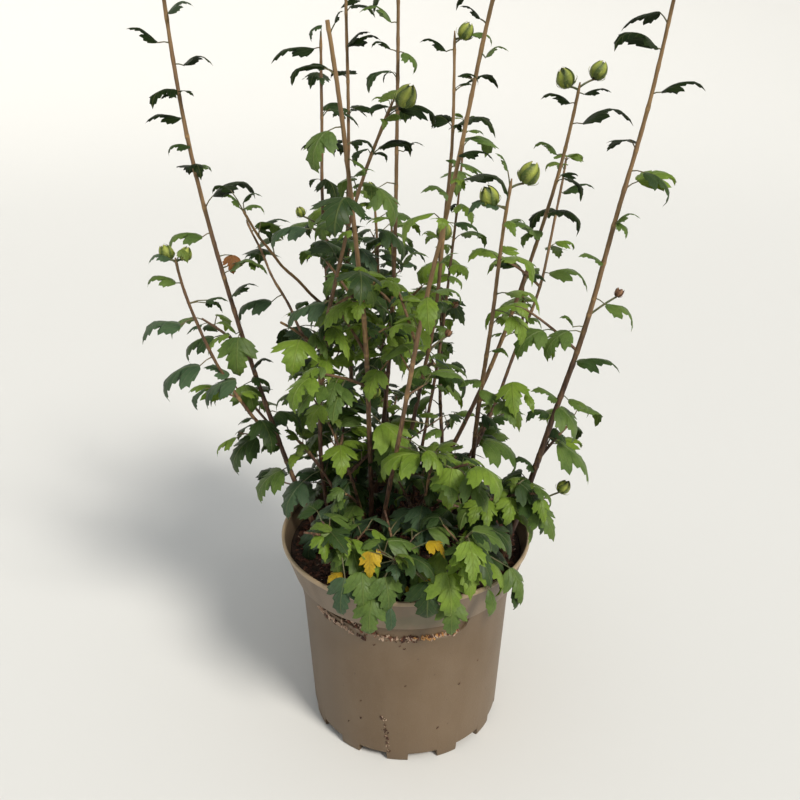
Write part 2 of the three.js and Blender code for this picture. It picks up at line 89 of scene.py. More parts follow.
def lerp(low, high, share):
    """The value a share of the way from low to high."""
    return low + (high - low) * share


def in_metres(values):
    return [v / MM for v in values]


def turned(radius, angle, height=0):
    """A place at a radius and an angle round the upright axis."""
    return (radius * math.cos(angle), radius * math.sin(angle), height)


def new_mesh(name, points, faces=(), edges=()):
    mesh = bpy.data.meshes.new(name)
    mesh.from_pydata(points, edges, faces)
    return mesh


def link_piece(name, data):
    """A new object in the scene."""
    piece = bpy.data.objects.new(name, data)
    scene.collection.objects.link(piece)
    return piece


print("nodes:", len(frame["nodes"]), "box:", [tuple(round(v, 3) for v in corner) for corner in cad_bounds])

# %% [markdown]
# ## Where the eye stands
# The camera stands a little under a metre in front of the pot and looks down on it by 24 degrees. The edges
# of the pot's rim and foot gave that place. A normal lens is enough, with no shift and no blur.

# %% Camera
CAMERA_PLACE = (-0.007, -0.880, 0.825)
CAMERA_DOWN = 24.3
CAMERA_LENS = 38.25

lens = bpy.data.cameras.new("eye")
lens.sensor_width = 36
lens.lens = CAMERA_LENS
camera = link_piece("eye", lens)
camera.location = CAMERA_PLACE
camera.rotation_euler = (math.radians(90 - CAMERA_DOWN), 0, 0)
scene.camera = camera
print("camera at", CAMERA_PLACE)

# %% [markdown]
# ## Light and floor
# A shrub needs two kinds of light. A warm one from the front right gives the sunny side, and a broad pale
# blue one from above shines on leaves that lie level. Both are suns, because a sun is as bright far away as
# near by, so the floor stays evenly pale. The floor curves up at its edge, so no horizon line shows.

# %% Floor and lamps
FLOOR_FLAT = 3.2
FLOOR_EDGE = 9.5
FLOOR_RISE = 5.0
FLOOR_RINGS = 16
FLOOR_SECTORS = 96
SUNNY_LIGHT = 3.0
SKY_LIGHT = 0.95
WORLD_LIGHT = 0.16


def add_sun(name, toward, strength, softness, colour):
    """A sun far away in a direction. Its softness is how wide it looks, in degrees."""
    lamp = bpy.data.lights.new(name, "SUN")
    lamp.energy = strength
    lamp.angle = math.radians(softness)
    lamp.color = colour
    holder = link_piece(name, lamp)
    holder.rotation_euler = Vector(toward).to_track_quat("Z", "Y").to_euler()


add_sun("sunny_side", (1.0, -1.15, 1.5), SUNNY_LIGHT, 16, (1.0, 0.95, 0.86))
add_sun("open_sky", (0.0, -0.15, 1.0), SKY_LIGHT, 70, (0.93, 0.97, 1.0))

world = bpy.data.worlds.new("studio")
scene.world = world
world.use_nodes = True
backdrop = world.node_tree.nodes["Background"]
backdrop.inputs["Color"].default_value = (0.93, 0.95, 0.95, 1)
backdrop.inputs["Strength"].default_value = WORLD_LIGHT


def floor_shape():
    """A flat round floor whose edge curves up all round like a shallow dish."""
    rings = [0.0] + [FLOOR_FLAT * k / 3 for k in (1, 2, 3)]
    rings += [lerp(FLOOR_FLAT, FLOOR_EDGE, k / FLOOR_RINGS) for k in range(1, FLOOR_RINGS + 1)]
    points, faces = [], []
    for radius in rings:
        rise = max(0, radius - FLOOR_FLAT) / (FLOOR_EDGE - FLOOR_FLAT)
        for k in range(FLOOR_SECTORS):
            points.append(turned(radius, 2 * math.pi * k / FLOOR_SECTORS, FLOOR_RISE * rise ** 3))
    for i in range(len(rings) - 1):
        for k in range(FLOOR_SECTORS):
            here = i * FLOOR_SECTORS + k
            after = i * FLOOR_SECTORS + (k + 1) % FLOOR_SECTORS
            if i:
                faces.append((here, here + FLOOR_SECTORS, after + FLOOR_SECTORS, after))
            else:
                faces.append((0, here + FLOOR_SECTORS, after + FLOOR_SECTORS))
    mesh = new_mesh("floor", points, faces)
    mesh.shade_smooth()
    return mesh


floor = link_piece("floor", floor_shape())
scene.view_settings.view_transform = "Standard"

# %% [markdown]
# ## Sums that become nodes
# A node tree is easier to read as a sum. This small class wraps one output socket, and each sign used on it
# adds a Math node. A second class adds any other node from its type, its settings and its inputs. Both serve
# materials and geometry trees alike.

# %% Wires and trees


def plug(tree, value, entry):
    """Feeds a socket from a wire, or sets it to a plain value."""
    if isinstance(value, Wire):
        tree.links.new(value.socket, entry)
    else:
        entry.default_value = value


class Wire:
    """An output socket that can be used in sums."""

    def __init__(self, tree, socket):
        self.tree = tree
        self.socket = socket

    def maths(self, operation, *values):
        node = self.tree.nodes.new("ShaderNodeMath")
        node.operation = operation
        for value, entry in zip(values, node.inputs):
            plug(self.tree, value, entry)
        return Wire(self.tree, node.outputs[0])

    def __add__(self, other):
        return self.maths("ADD", self, other)

    def __radd__(self, other):
        return self.maths("ADD", other, self)

    def __sub__(self, other):
        return self.maths("SUBTRACT", self, other)

    def __rsub__(self, other):
        return self.maths("SUBTRACT", other, self)

    def __mul__(self, other):
        return self.maths("MULTIPLY", self, other)

    def __rmul__(self, other):
        return self.maths("MULTIPLY", other, self)

    def __truediv__(self, other):
        return self.maths("DIVIDE", self, other)

    def __abs__(self):
        return self.maths("ABSOLUTE", self)

    def fraction(self):
        return self.maths("FRACT", self)

    def rise(self, low, high):
        """0 below low, 1 above high, and an even rise between. With low above high it falls."""
        node = self.tree.nodes.new("ShaderNodeMapRange")
        node.clamp = True
        for value, entry in zip((self, low, high, 0.0, 1.0), node.inputs):
            plug(self.tree, value, entry)
        return Wire(self.tree, node.outputs[0])


class Tree:
    """Adds nodes to one node tree."""

    def __init__(self, tree):
        self.tree = tree

    def node(self, kind, settings=None, inputs=None, output=0):
        node = self.tree.nodes.new(kind)
        for name, value in (settings or {}).items():
            setattr(node, name, value)
        for key, value in (inputs or {}).items():
            plug(self.tree, value, node.inputs[key])
        return Wire(self.tree, node.outputs[output])

    def mix(self, factor, first, second):
        """A mix of two colours."""
        return self.node("ShaderNodeMix", {"data_type": "RGBA"}, {0: factor, 6: first, 7: second}, 2)

    def scaled(self, vector, factors):
        return self.node("ShaderNodeVectorMath", {"operation": "MULTIPLY"}, {0: vector, 1: factors})

    def noise(self, place, scale, detail=3.0):
        return self.node("ShaderNodeTexNoise", None, {"Vector": place, "Scale": scale, "Detail": detail})

    def parts(self, vector):
        """The three parts of a vector."""
        split = self.tree.nodes.new("ShaderNodeSeparateXYZ")
        plug(self.tree, vector, split.inputs[0])
        return [Wire(self.tree, output) for output in split.outputs]


print("sums are ready")

# %% [markdown]
# ## How a finish is made
# Each finish starts as a Principled shader. Patterns read the object's own coordinates, in metres, so a
# scale of 400 gives specks of a few millimetres.

# %% Starting a finish


def rgb(red, green, blue):
    return (red, green, blue, 1.0)


def new_finish(name):
    material = bpy.data.materials.new(name)
    material.use_nodes = True
    material.node_tree.nodes.clear()
    return material, Tree(material.node_tree)


def close_finish(nodes, surface):
    end = nodes.tree.nodes.new("ShaderNodeOutputMaterial")
    plug(nodes.tree, surface, end.inputs["Surface"])


def own_place(nodes):
    """The object's own coordinates."""
    return nodes.node("ShaderNodeTexCoord", output=3)


def plain_surface(nodes, colour, roughness, height=None, depth=0.0002, shine=0.5):
    """A Principled surface, with a bump where a height is given."""
    inputs = {"Base Color": colour, "Roughness": roughness, "Specular IOR Level": shine}
    if height is not None:
        inputs["Normal"] = nodes.node("ShaderNodeBump", None,
                                      {"Strength": 1.0, "Distance": depth, "Height": height})
    return nodes.node("ShaderNodeBsdfPrincipled", None, inputs)


floor_finish, nodes = new_finish("pale_floor")
close_finish(nodes, plain_surface(nodes, rgb(0.70, 0.70, 0.69), 0.9))
floor.data.materials.append(floor_finish)
print("finish helpers are ready")

# %% [markdown]
# ## How the shrub grows
# Every cane is one smooth bow from its foot on the compost to its tip. The limbs' numbers below are the same
# as in the solids, so a cane drawn here runs down the middle of its solid. A few buds sit a little nearer to
# their place on the real shrub. Each limb has its own seed, and the random numbers come from a small
# generator that gives the same row of numbers on every computer.

# %% Canes, branches and low shoots
SOIL_HEIGHT = 0.238
CROWN_TOP = 0.93
RIM_RADIUS = 0.150
POT_HEIGHT = 0.260

# lengths in mm, bare and a bud's place as a share of the limb, the first leaf's side in degrees, and for each
# bud its place, its direction in degrees, the length of its stalk and its width
LIMB_FACTS = ("name", "foot", "tip", "bow", "thickness", "bare", "twigs", "side", "buds")
CANES = [
    ("far_left", (-105, 5), (-240, 40, 885), (-27, 0), (7, 4.2), 0.15, 2, 170, [(0.36, 200, 22, 9)]),
    ("back_left", (-84, 85), (-95, 150, 810), (-8, 12), (6.5, 3.8), 0.3, 4, 190, [(0.62, 218, 34, 12)]),
    ("left_middle", (-92, 30), (-12, -60, 757), (-38, 0), (6.5, 3.5), 0.32, 4, 240, [(0.98, 330, 13, 20)]),
    ("pruned", (-43, 20), (-68, -100, 822), (11, 0), (7.2, 4.4), 0.34, 3, 160, [(0.35, 300, 16, 13)]),
    ("back_tall", (-70, 110), (-68, 205, 930), (-2, 14), (6.5, 3.8), 0.3, 4, 20, []),
    ("middle_tall", (-42, 65), (-11, 105, 955), (14, 0), (7, 3.6), 0.3, 4, 200, []),
    ("middle_right", (-28, 15), (47, 35, 812), (22, 0), (6.5, 3.3), 0.3, 1, 300,
     [(0.985, 340, 7, 16), (0.42, 20, 26, 8)]),
    ("front_tall", (-34, -25), (84, -170, 930), (-6, -10), (6.5, 3.4), 0.38, 1, 350, []),
    ("back_thin", (6, 75), (71, 190, 715), (10, 10), (5.5, 3), 0.3, 1, 30, [(0.52, 350, 12, 8)]),
    ("right_short", (79, 42), (95, -90, 690), (-5, -10), (7.5, 3.5), 0.32, 1, 210,
     [(0.98, 10, 13, 20), (0.935, 200, 14, 19)]),
    ("right_long", (4, 40), (182, 70, 762), (28, 8), (7, 4), 0.38, 1, 180,
     [(0.985, 200, 12, 20), (0.99, 20, 19, 19)]),
    ("far_right", (114, -30), (247, -25, 880), (13, -6), (8.5, 3.6), 0.14, 2, 180,
     [(0.47, 10, 34, 9), (0.1, -10, 52, 16)]),
    ("back_right", (50, 95), (45, 225, 560), (0, 20), (6.5, 3.5), 0.32, 2, 60, [(0.97, 70, 14, 22)]),
    ("back_middle", (-20, 105), (-40, 205, 620), (0, 20), (6.5, 3.5), 0.32, 3, 120, [(0.97, 110, 14, 20)]),
]
# a branch starts from a share of the way up another limb
BRANCHES = [
    ("left_low", ("far_left", 0.19), (-224, -75, 612), (-17, -6), (4.8, 3.2), 0.14, 0, 190,
     [(0.98, 150, 8, 15), (0.985, 20, 6, 13)]),
    ("left_cross", ("back_left", 0.45), (-171, 10, 640), (-9, 0), (4.5, 3), 0.35, 0, 140, []),
    ("left_inner", ("left_middle", 0.45), (-180, 75, 616), (-2, 0), (4.2, 2.8), 0.3, 1, 200, []),
    ("right_back", ("right_short", 0.28), (188, 145, 675), (16, 4), (5, 3.2), 0.35, 2, 20, []),
]
# which way a low shoot goes in degrees, how far out and how high in mm
LOW_SHOOTS = {
    "low_front": (-95, 154, 318), "low_front_right": (-62, 148, 326), "low_front_left": (-122, 146, 325),
    "low_right": (-22, 136, 348), "low_back_right": (34, 128, 385), "low_back": (100, 144, 350),
    "low_back_left": (140, 128, 385), "low_left": (178, 122, 372), "inner_left": (-168, 92, 415),
    "inner_front": (-70, 84, 400),
}
CANE_HABIT = {"step": 0.038, "twig_top": 0.56}
LOW_HABIT = {"step": 0.016, "twig_top": 0.44, "thick": 0.0048, "thin": 0.0028, "bare": 0.2, "twigs": 3,
             "buds": []}
LOW_FOOT_SHARE = 0.5
LOW_BOW_SHARE = -0.06
FIRST_SEED = 101
SEED_STEP = 37
print("to grow:", len(CANES), "canes,", len(BRANCHES), "branches,", len(LOW_SHOOTS), "low shoots")

# %% Random numbers
GOLDEN_ANGLE = math.radians(137.5)


class Draws:
    """Even random numbers between 0 and 1, the same on every run."""

    def __init__(self, seed):
        self.state = seed

    def one(self):
        self.state = self.state * 48271 % 2147483647
        return self.state / 2147483647

    def between(self, low, high):
        return lerp(low, high, self.one())


# %% [markdown]
# A path holds where a limb runs and how thick it is there. The bow comes from the tables. A real cane also
# bends a little from node to node, so a wobble of about a millimetre is added between its ends.

# %% Paths
FOOT_FLARE = 0.18
FOOT_FLARE_SHARE = 0.03
WOBBLE = 0.0014
WAVES = 4
WAVE_SIZE = (0.4, 1)
WAVE_PACE = (5, 19)
LENGTH_STEPS = 60


class Path:
    """A smooth bow through space, with the radius that a limb has along it."""

    def __init__(self, foot, knee, tip, thick, thin, flare=0.0, wobble=0.0, seed=1):
        self.foot, self.knee, self.tip = foot, knee, tip
        self.thick, self.thin, self.flare = thick, thin, flare
        draws = Draws(seed * 7 + 3)
        self.waves = [(wobble * draws.between(*WAVE_SIZE), draws.between(*WAVE_PACE), draws.between(0, 6.28))
                      for _ in range(WAVES)]
        steps = [self.bow_at(i / LENGTH_STEPS) for i in range(LENGTH_STEPS + 1)]
        self.length = sum((b - a).length for a, b in zip(steps, steps[1:]))

    def bow_at(self, share):
        rest = 1 - share
        return self.foot * rest * rest + self.knee * 2 * share * rest + self.tip * share * share

    def at(self, share):
        place = self.bow_at(share)
        fade = math.sin(math.pi * min(1, max(0, share)))
        for k, (size, pace, start) in enumerate(self.waves):
            place[k % 2] += size * fade * math.sin(pace * share + start)
        return place

    def along(self, share):
        return ((self.knee - self.foot) * (1 - share) + (self.tip - self.knee) * share).normalized()

    def radius(self, share):
        return lerp(self.thick, self.thin, share) / 2 + self.flare * math.exp(-share / FOOT_FLARE_SHARE)

    def square_to(self, share):
        """Along the path, and two directions square to it."""
        along = self.along(share)
        side = Vector((0, 1, 0)).cross(along).normalized()
        other = along.cross(side).normalized()
        return along, side, other


def knee_between(foot, tip, bow):
    return (foot + tip) / 2 + 2 * Vector((*bow, 0))


limbs = {}
for row in CANES + BRANCHES:
    limb = {**dict(zip(LIMB_FACTS, row)), **CANE_HABIT, "is_branch": row in BRANCHES}
    thick, thin = in_metres(limb["thickness"])
    flare = FOOT_FLARE * thick
    if limb["is_branch"]:
        parent, share = limb["foot"]
        foot, flare = limbs[parent]["path"].at(share), 0.0
    else:
        foot = Vector((*in_metres(limb["foot"]), SOIL_HEIGHT))
    tip = Vector(in_metres(limb["tip"]))
    knee = knee_between(foot, tip, in_metres(limb["bow"]))
    limb["path"] = Path(foot, knee, tip, thick, thin, flare, WOBBLE, len(limbs))
    limbs[limb["name"]] = limb
for name, (turn, *size) in LOW_SHOOTS.items():
    reach, height = in_metres(size)
    outward = Vector(turned(1, math.radians(turn)))
    foot = outward * (LOW_FOOT_SHARE * reach) + UP * SOIL_HEIGHT
    tip = outward * reach + UP * height
    knee = knee_between(foot, tip, (LOW_BOW_SHARE * tip.x, LOW_BOW_SHARE * tip.y))
    path = Path(foot, knee, tip, LOW_HABIT["thick"], LOW_HABIT["thin"],
                FOOT_FLARE * LOW_HABIT["thick"], 0.0, len(limbs))
    limbs[name] = {**LOW_HABIT, "name": name, "side": turn, "path": path, "is_branch": False}
for index, limb in enumerate(limbs.values()):
    limb.update({"seed": FIRST_SEED + SEED_STEP * index, "taken": [], "nodes": [], "leafy_twigs": [],
                 "knots": []})
print("limbs:", len(limbs), "longest:", round(max(limb["path"].length for limb in limbs.values()), 3), "m")

# %% [markdown]
# ## Room to grow
# A leaf must not pass through a cane, the pot or another leaf. Each limb and leaf leaves small balls in a
# grid of cells, and a newcomer looks only at the cells round it. A leaf that finds no room turns on round
# its stem and lifts its blade, as it does in the solids, and after six tries at most it is left out.

# %% Room
CELL = 0.02
LEAF_BALL = 0.0042
LIMB_BALL_STEP = 0.006
BOX_SLACK = 0.014
POT_CLEARANCE = 0.003
COLLAR_HEIGHT = 0.213
COLLAR_RADIUS = 0.136
WAIST_RADIUS = 0.127
WAIST_HEIGHT = 0.178
FOOT_RADIUS = 0.119
POT_WALL = 0.0025
crown_low, crown_high = (Vector(corner) for corner in cad_bounds)


def wall_radius(height):
    """The radius of the pot's outside at a height."""
    if height > COLLAR_HEIGHT:
        return lerp(COLLAR_RADIUS, RIM_RADIUS, (height - COLLAR_HEIGHT) / (POT_HEIGHT - COLLAR_HEIGHT))
    if height > WAIST_HEIGHT:
        return lerp(WAIST_RADIUS, COLLAR_RADIUS, (height - WAIST_HEIGHT) / (COLLAR_HEIGHT - WAIST_HEIGHT))
    return lerp(FOOT_RADIUS, WAIST_RADIUS, height / WAIST_HEIGHT)


def is_clear_of_pot(place):
    """Whether a place is above the compost or outside the wall."""
    if place.z > POT_HEIGHT + POT_CLEARANCE:
        return True
    outside = wall_radius(min(place.z, POT_HEIGHT))
    radius = math.hypot(place.x, place.y)
    if radius > outside + POT_CLEARANCE:
        return True
    return place.z > SOIL_HEIGHT + POT_CLEARANCE and radius < outside - POT_WALL - 2 * POT_CLEARANCE


class Room:
    """Balls sorted into cells, to ask whether a place is still free."""

    def __init__(self):
        self.cells = {}

    def key(self, place):
        return tuple(math.floor(v / CELL) for v in place)

    def fill(self, place, radius, owner):
        self.cells.setdefault(self.key(place), []).append((place.x, place.y, place.z, radius, owner))

    def is_free(self, place, radius, owners):
        x, y, z = self.key(place)
        for i in (x - 1, x, x + 1):
            for j in (y - 1, y, y + 1):
                for k in (z - 1, z, z + 1):
                    for bx, by, bz, size, owner in self.cells.get((i, j, k), ()):
                        gap = (place.x - bx) ** 2 + (place.y - by) ** 2 + (place.z - bz) ** 2
                        if gap < (radius + size) ** 2 and owner not in owners:
                            return False
        return True


room = Room()


def fill_along(path, owner, start=0.0):
    count = max(2, int(path.length * (1 - start) / LIMB_BALL_STEP))
    for i in range(count + 1):
        share = lerp(start, 1, i / count)
        room.fill(path.at(share), path.radius(share), owner)


for name, limb in limbs.items():
    fill_along(limb["path"], name)
    low, high = (Vector(corner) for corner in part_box("leaves_" + name))
    slack = Vector((BOX_SLACK, BOX_SLACK, BOX_SLACK))
    low, high = low - slack, high + slack
    limb["low"] = Vector(max(a, b) for a, b in zip(low, crown_low))
    limb["high"] = Vector(min(a, b) for a, b in zip(high, crown_high))


def fits(spots, limb, ball, owners=()):
    """Whether all the spots are in the limb's box, clear of the pot, and free but for some owners' balls."""
    low, high = limb["low"], limb["high"]
    return all(all(low[k] < spot[k] < high[k] for k in range(3)) and is_clear_of_pot(spot)
               and room.is_free(spot, ball, owners) for spot in spots)


# %% [markdown]
# The crown is open where the sky shows through it. Rows of balls keep the leaves out of these gaps, and out
# of the way in front of three canes that stand free and of the old yellow leaves.

# %% Gaps in the crown
OPEN_CANES = ("pruned", "right_short", "left_middle")
OPEN_TOP = 0.44
OPEN_WAY = Vector((0.0, -0.84, 0.54))
OPEN_STEPS = (0.014, 0.024, 0.034, 0.046, 0.060)
OPEN_BALL = 0.0065
OPEN_PLACES = 60
OLD_SPOTS = [(-0.038, -0.138, 0.304), (0.030, -0.113, 0.306), (-0.076, -0.122, 0.272)]
GAP_STEP = 0.010
GAP_FRONT = -150
GAP_BACK = 200
# x and z at the front, x and z at the back and the balls' radius, all in mm
SKY_GAPS = [
    (-227, 547, -333, 413, 13), (113, 447, 170, 265, 13), (29, 490, 46, 330, 12),
    (-197, 677, -288, 606, 11), (-106, 601, -153, 494, 11), (62, 537, 95, 399, 11),
    (148, 428, 222, 238, 11), (184, 567, 275, 443, 11), (-132, 564, -191, 439, 10),
    (91, 609, 137, 506, 10), (98, 675, 149, 603, 10), (-47, 777, -65, 753, 10),
    (50, 602, 77, 495, 10), (51, 549, 78, 416, 10), (30, 773, 48, 748, 10),
    (-81, 753, -117, 718, 10), (2, 609, 6, 506, 10), (84, 431, 127, 243, 10),
    (21, 709, 34, 653, 9), (171, 701, 256, 641, 9), (128, 587, 192, 473, 9),
    (74, 666, 113, 590, 9), (-120, 556, -174, 428, 9), (-168, 487, -245, 325, 9),
    (-118, 443, -172, 260, 9), (-137, 601, -199, 494, 9), (-125, 583, -181, 467, 9),
    (66, 578, 101, 459, 9), (93, 553, 140, 422, 11), (-174, 462, -254, 288, 10),
    (90, 524, 136, 380, 9), (-200, 551, -293, 419, 9), (-158, 672, -230, 599, 11),
    (-172, 682, -251, 614, 9), (-82, 605, -118, 499, 9), (52, 460, 81, 284, 9),
    (175, 456, 262, 280, 9), (26, 675, 42, 603, 9), (-108, 634, -156, 542, 9),
    (-88, 617, -127, 517, 9), (-107, 302, -156, 52, 11), (-91, 293, -132, 39, 10),
    (-113, 328, -164, 90, 9),
]
# where a gap over the compost starts, where it ends and the balls' radius, in mm
SOIL_GAPS = [
    ((-116, -160, 336), (-125, -100, 295), 9), ((-112, -160, 307), (-118, -120, 278), 9),
    ((-120, -150, 351), (-131, -80, 306), 9), ((8, -120, 368), (9, -40, 320), 10),
    ((35, -120, 362), (38, -50, 320), 9), ((14, -100, 392), (16, -30, 354), 8),
]
for name in OPEN_CANES:
    path = limbs[name]["path"]
    for i in range(OPEN_PLACES):
        spot = path.at(i / OPEN_PLACES)
        if spot.z < OPEN_TOP:
            for step in OPEN_STEPS:
                room.fill(spot + OPEN_WAY * step, OPEN_BALL, "open")
for spot in OLD_SPOTS:
    for step in OPEN_STEPS:
        room.fill(Vector(spot) + OPEN_WAY * step, 2 * OPEN_BALL, "open")
gaps = [((a, GAP_FRONT, b), (c, GAP_BACK, d), ball) for a, b, c, d, ball in SKY_GAPS]
for start, end, ball in gaps + SOIL_GAPS:
    start, end = Vector(in_metres(start)), Vector(in_metres(end))
    count = int((end - start).length / GAP_STEP)
    for i in range(count + 1):
        room.fill(start.lerp(end, i / count), ball / MM, "open")
print("cells with something in them:", len(room.cells))

# %% [markdown]
# ## Tints
# The greens paint light and shade onto the leaves. A tint goes with the place where a leaf grows. Leaves on
# the sunny front and half way up are painted lighter, as if lit, and those near the top, low down or at the
# back are painted darker and bluer, as shade with a sheen of blue sky.

# %% Which tint a leaf has
# how much painted light and painted shade a leaf's tint gets from its place in the crown
SUNNY_WAY = Vector((0.45, -0.8, 0.15)).normalized()
TOP_SHADE = 3.2
TOP_START = 0.52
LOW_SHADE = 3.8
LOW_END = 0.20
BRIGHT_MIDDLE = 0.40
BRIGHT_REACH = 0.20
BRIGHT_LIFT = 0.65
SHADE_FOR_ALL = 0.1
LUCK_WEIGHT = 2.0
CROWN_RADIUS = 0.3
SUNNY_FROM = 0.42
MID_FROM = -0.1
BLUISH_WEST_OF = 0.03
SHADED_FROM = 0.3
BLUISH_FROM = 0.55


def crown_share(height):
    """How far up the crown a height is, from 0 at the compost to 1 at its top."""
    return min(1, max(0, (height - SOIL_HEIGHT) / (CROWN_TOP - SOIL_HEIGHT)))


def tint_for(place, luck):
    """The tint of a leaf, with painted light and shade by its place in the crown and a draw of its own."""
    rise = crown_share(place.z)
    level = Vector((place.x, place.y, 0))
    sun = level.dot(SUNNY_WAY) / CROWN_RADIUS + LUCK_WEIGHT * (luck - 0.5)
    sun += BRIGHT_LIFT * math.exp(-((rise - BRIGHT_MIDDLE) / BRIGHT_REACH) ** 2) - SHADE_FOR_ALL
    sun -= TOP_SHADE * max(0, rise - TOP_START) + LOW_SHADE * max(0, LOW_END - rise)
    if sun > SUNNY_FROM:
        return "sunny"
    if sun > MID_FROM:
        return "mid"
    again = luck * 7 % 1
    if rise > TOP_START:
        return "shaded" if again > SHADED_FROM else "deep"
    return "bluish" if again > BLUISH_FROM and place.x < BLUISH_WEST_OF else "deep"


print("a leaf on the sunny front is", tint_for(Vector((0.1, -0.2, 0.5)), 0.6))

# %% [markdown]
# ## Leaves by the rule
# Leaves go up a cane by the golden angle, so no two shade each other. A stalk leans out, and the blade hangs
# from its end: steeply low down, flatter near the top. The first draws follow the solids number by number.
# A second row of draws adds what the solids leave out, small leaves in the angle of each stalk and more
# leaves on the twigs.

# %% Rules for one leaf
LEAF_KINDS = 12
LOW_LEAF_LENGTH = 0.054
HIGH_LEAF_LENGTH = 0.039
LOW_DROOP = math.radians(52)
HIGH_DROOP = math.radians(17)
STALK_SHARE = 0.32
BLADE_SHARE = 0.96
LEAF_CHORD = 0.95
LEAF_TRIES = 6
LEAF_LIFT = 0.16
# along the blade and out to its side
BLADE_SPOTS = [(0.2, 0.0), (0.35, 0.3), (0.35, -0.3), (0.62, 0.0), (0.92, 0.0)]
ROLL = 0.35
STALK_THICK = 0.0017
LEAF_NORM = 0.05
ROOT_DEPTH = 0.7
leaves = []
stalks = []


def leaf_ways(square, turn, lean, droop):
    along, side, other = square
    stalk = (side * math.cos(turn) + other * math.sin(turn)) * math.sin(lean) + along * math.cos(lean)
    level = Vector((stalk.x, stalk.y, 0)).normalized()
    blade = level * math.cos(droop) - UP * math.sin(droop)
    return stalk.normalized(), blade


def grow_leaf(limb, path, share, turn, lean, scale, droop, extra, tint=None, tries=LEAF_TRIES):
    """A leaf on a path, or none where there is no room."""
    root = path.at(share)
    rise = crown_share(root.z)
    length = lerp(LOW_LEAF_LENGTH, HIGH_LEAF_LENGTH, rise) * scale
    square = path.square_to(share)
    roll = extra.between(-ROLL, ROLL)
    model = int(extra.one() * LEAF_KINDS)
    luck = extra.one()
    if any((root - spot).length < SHOWN_REACH for spot in limb["taken"]):
        return False
    for attempt in range(tries):
        hang = lerp(LOW_DROOP, HIGH_DROOP, rise) + droop - attempt * LEAF_LIFT
        stalk, blade = leaf_ways(square, turn + attempt * GOLDEN_ANGLE, lean, hang)
        base = root + stalk * (length * STALK_SHARE)
        across = blade.cross(UP).normalized()
        face = across.cross(blade).normalized()
        face = (face * math.cos(roll) + across * math.sin(roll)).normalized()
        across = blade.cross(face)
        size = length * BLADE_SHARE
        spots = [base + (blade * u + across * v) * size for u, v in BLADE_SPOTS]
        ball = LEAF_BALL * min(1, scale)
        if fits(spots[1:], limb, ball) and fits(spots[:1], limb, ball, (limb["name"],)):
            for spot in spots:
                room.fill(spot, ball, "leaf")
            leaves.append({"base": base, "ahead": blade, "face": face, "size": size, "model": model,
                           "tint": tint or tint_for(base, luck)})
            stalks.append({"root": root + stalk * path.radius(share) * ROOT_DEPTH, "end": base,
                           "blade": blade, "thick": STALK_THICK * math.sqrt(length / LEAF_NORM)})
            return True
    return False


print("a leaf at the top is", HIGH_LEAF_LENGTH, "m long without its stalk")
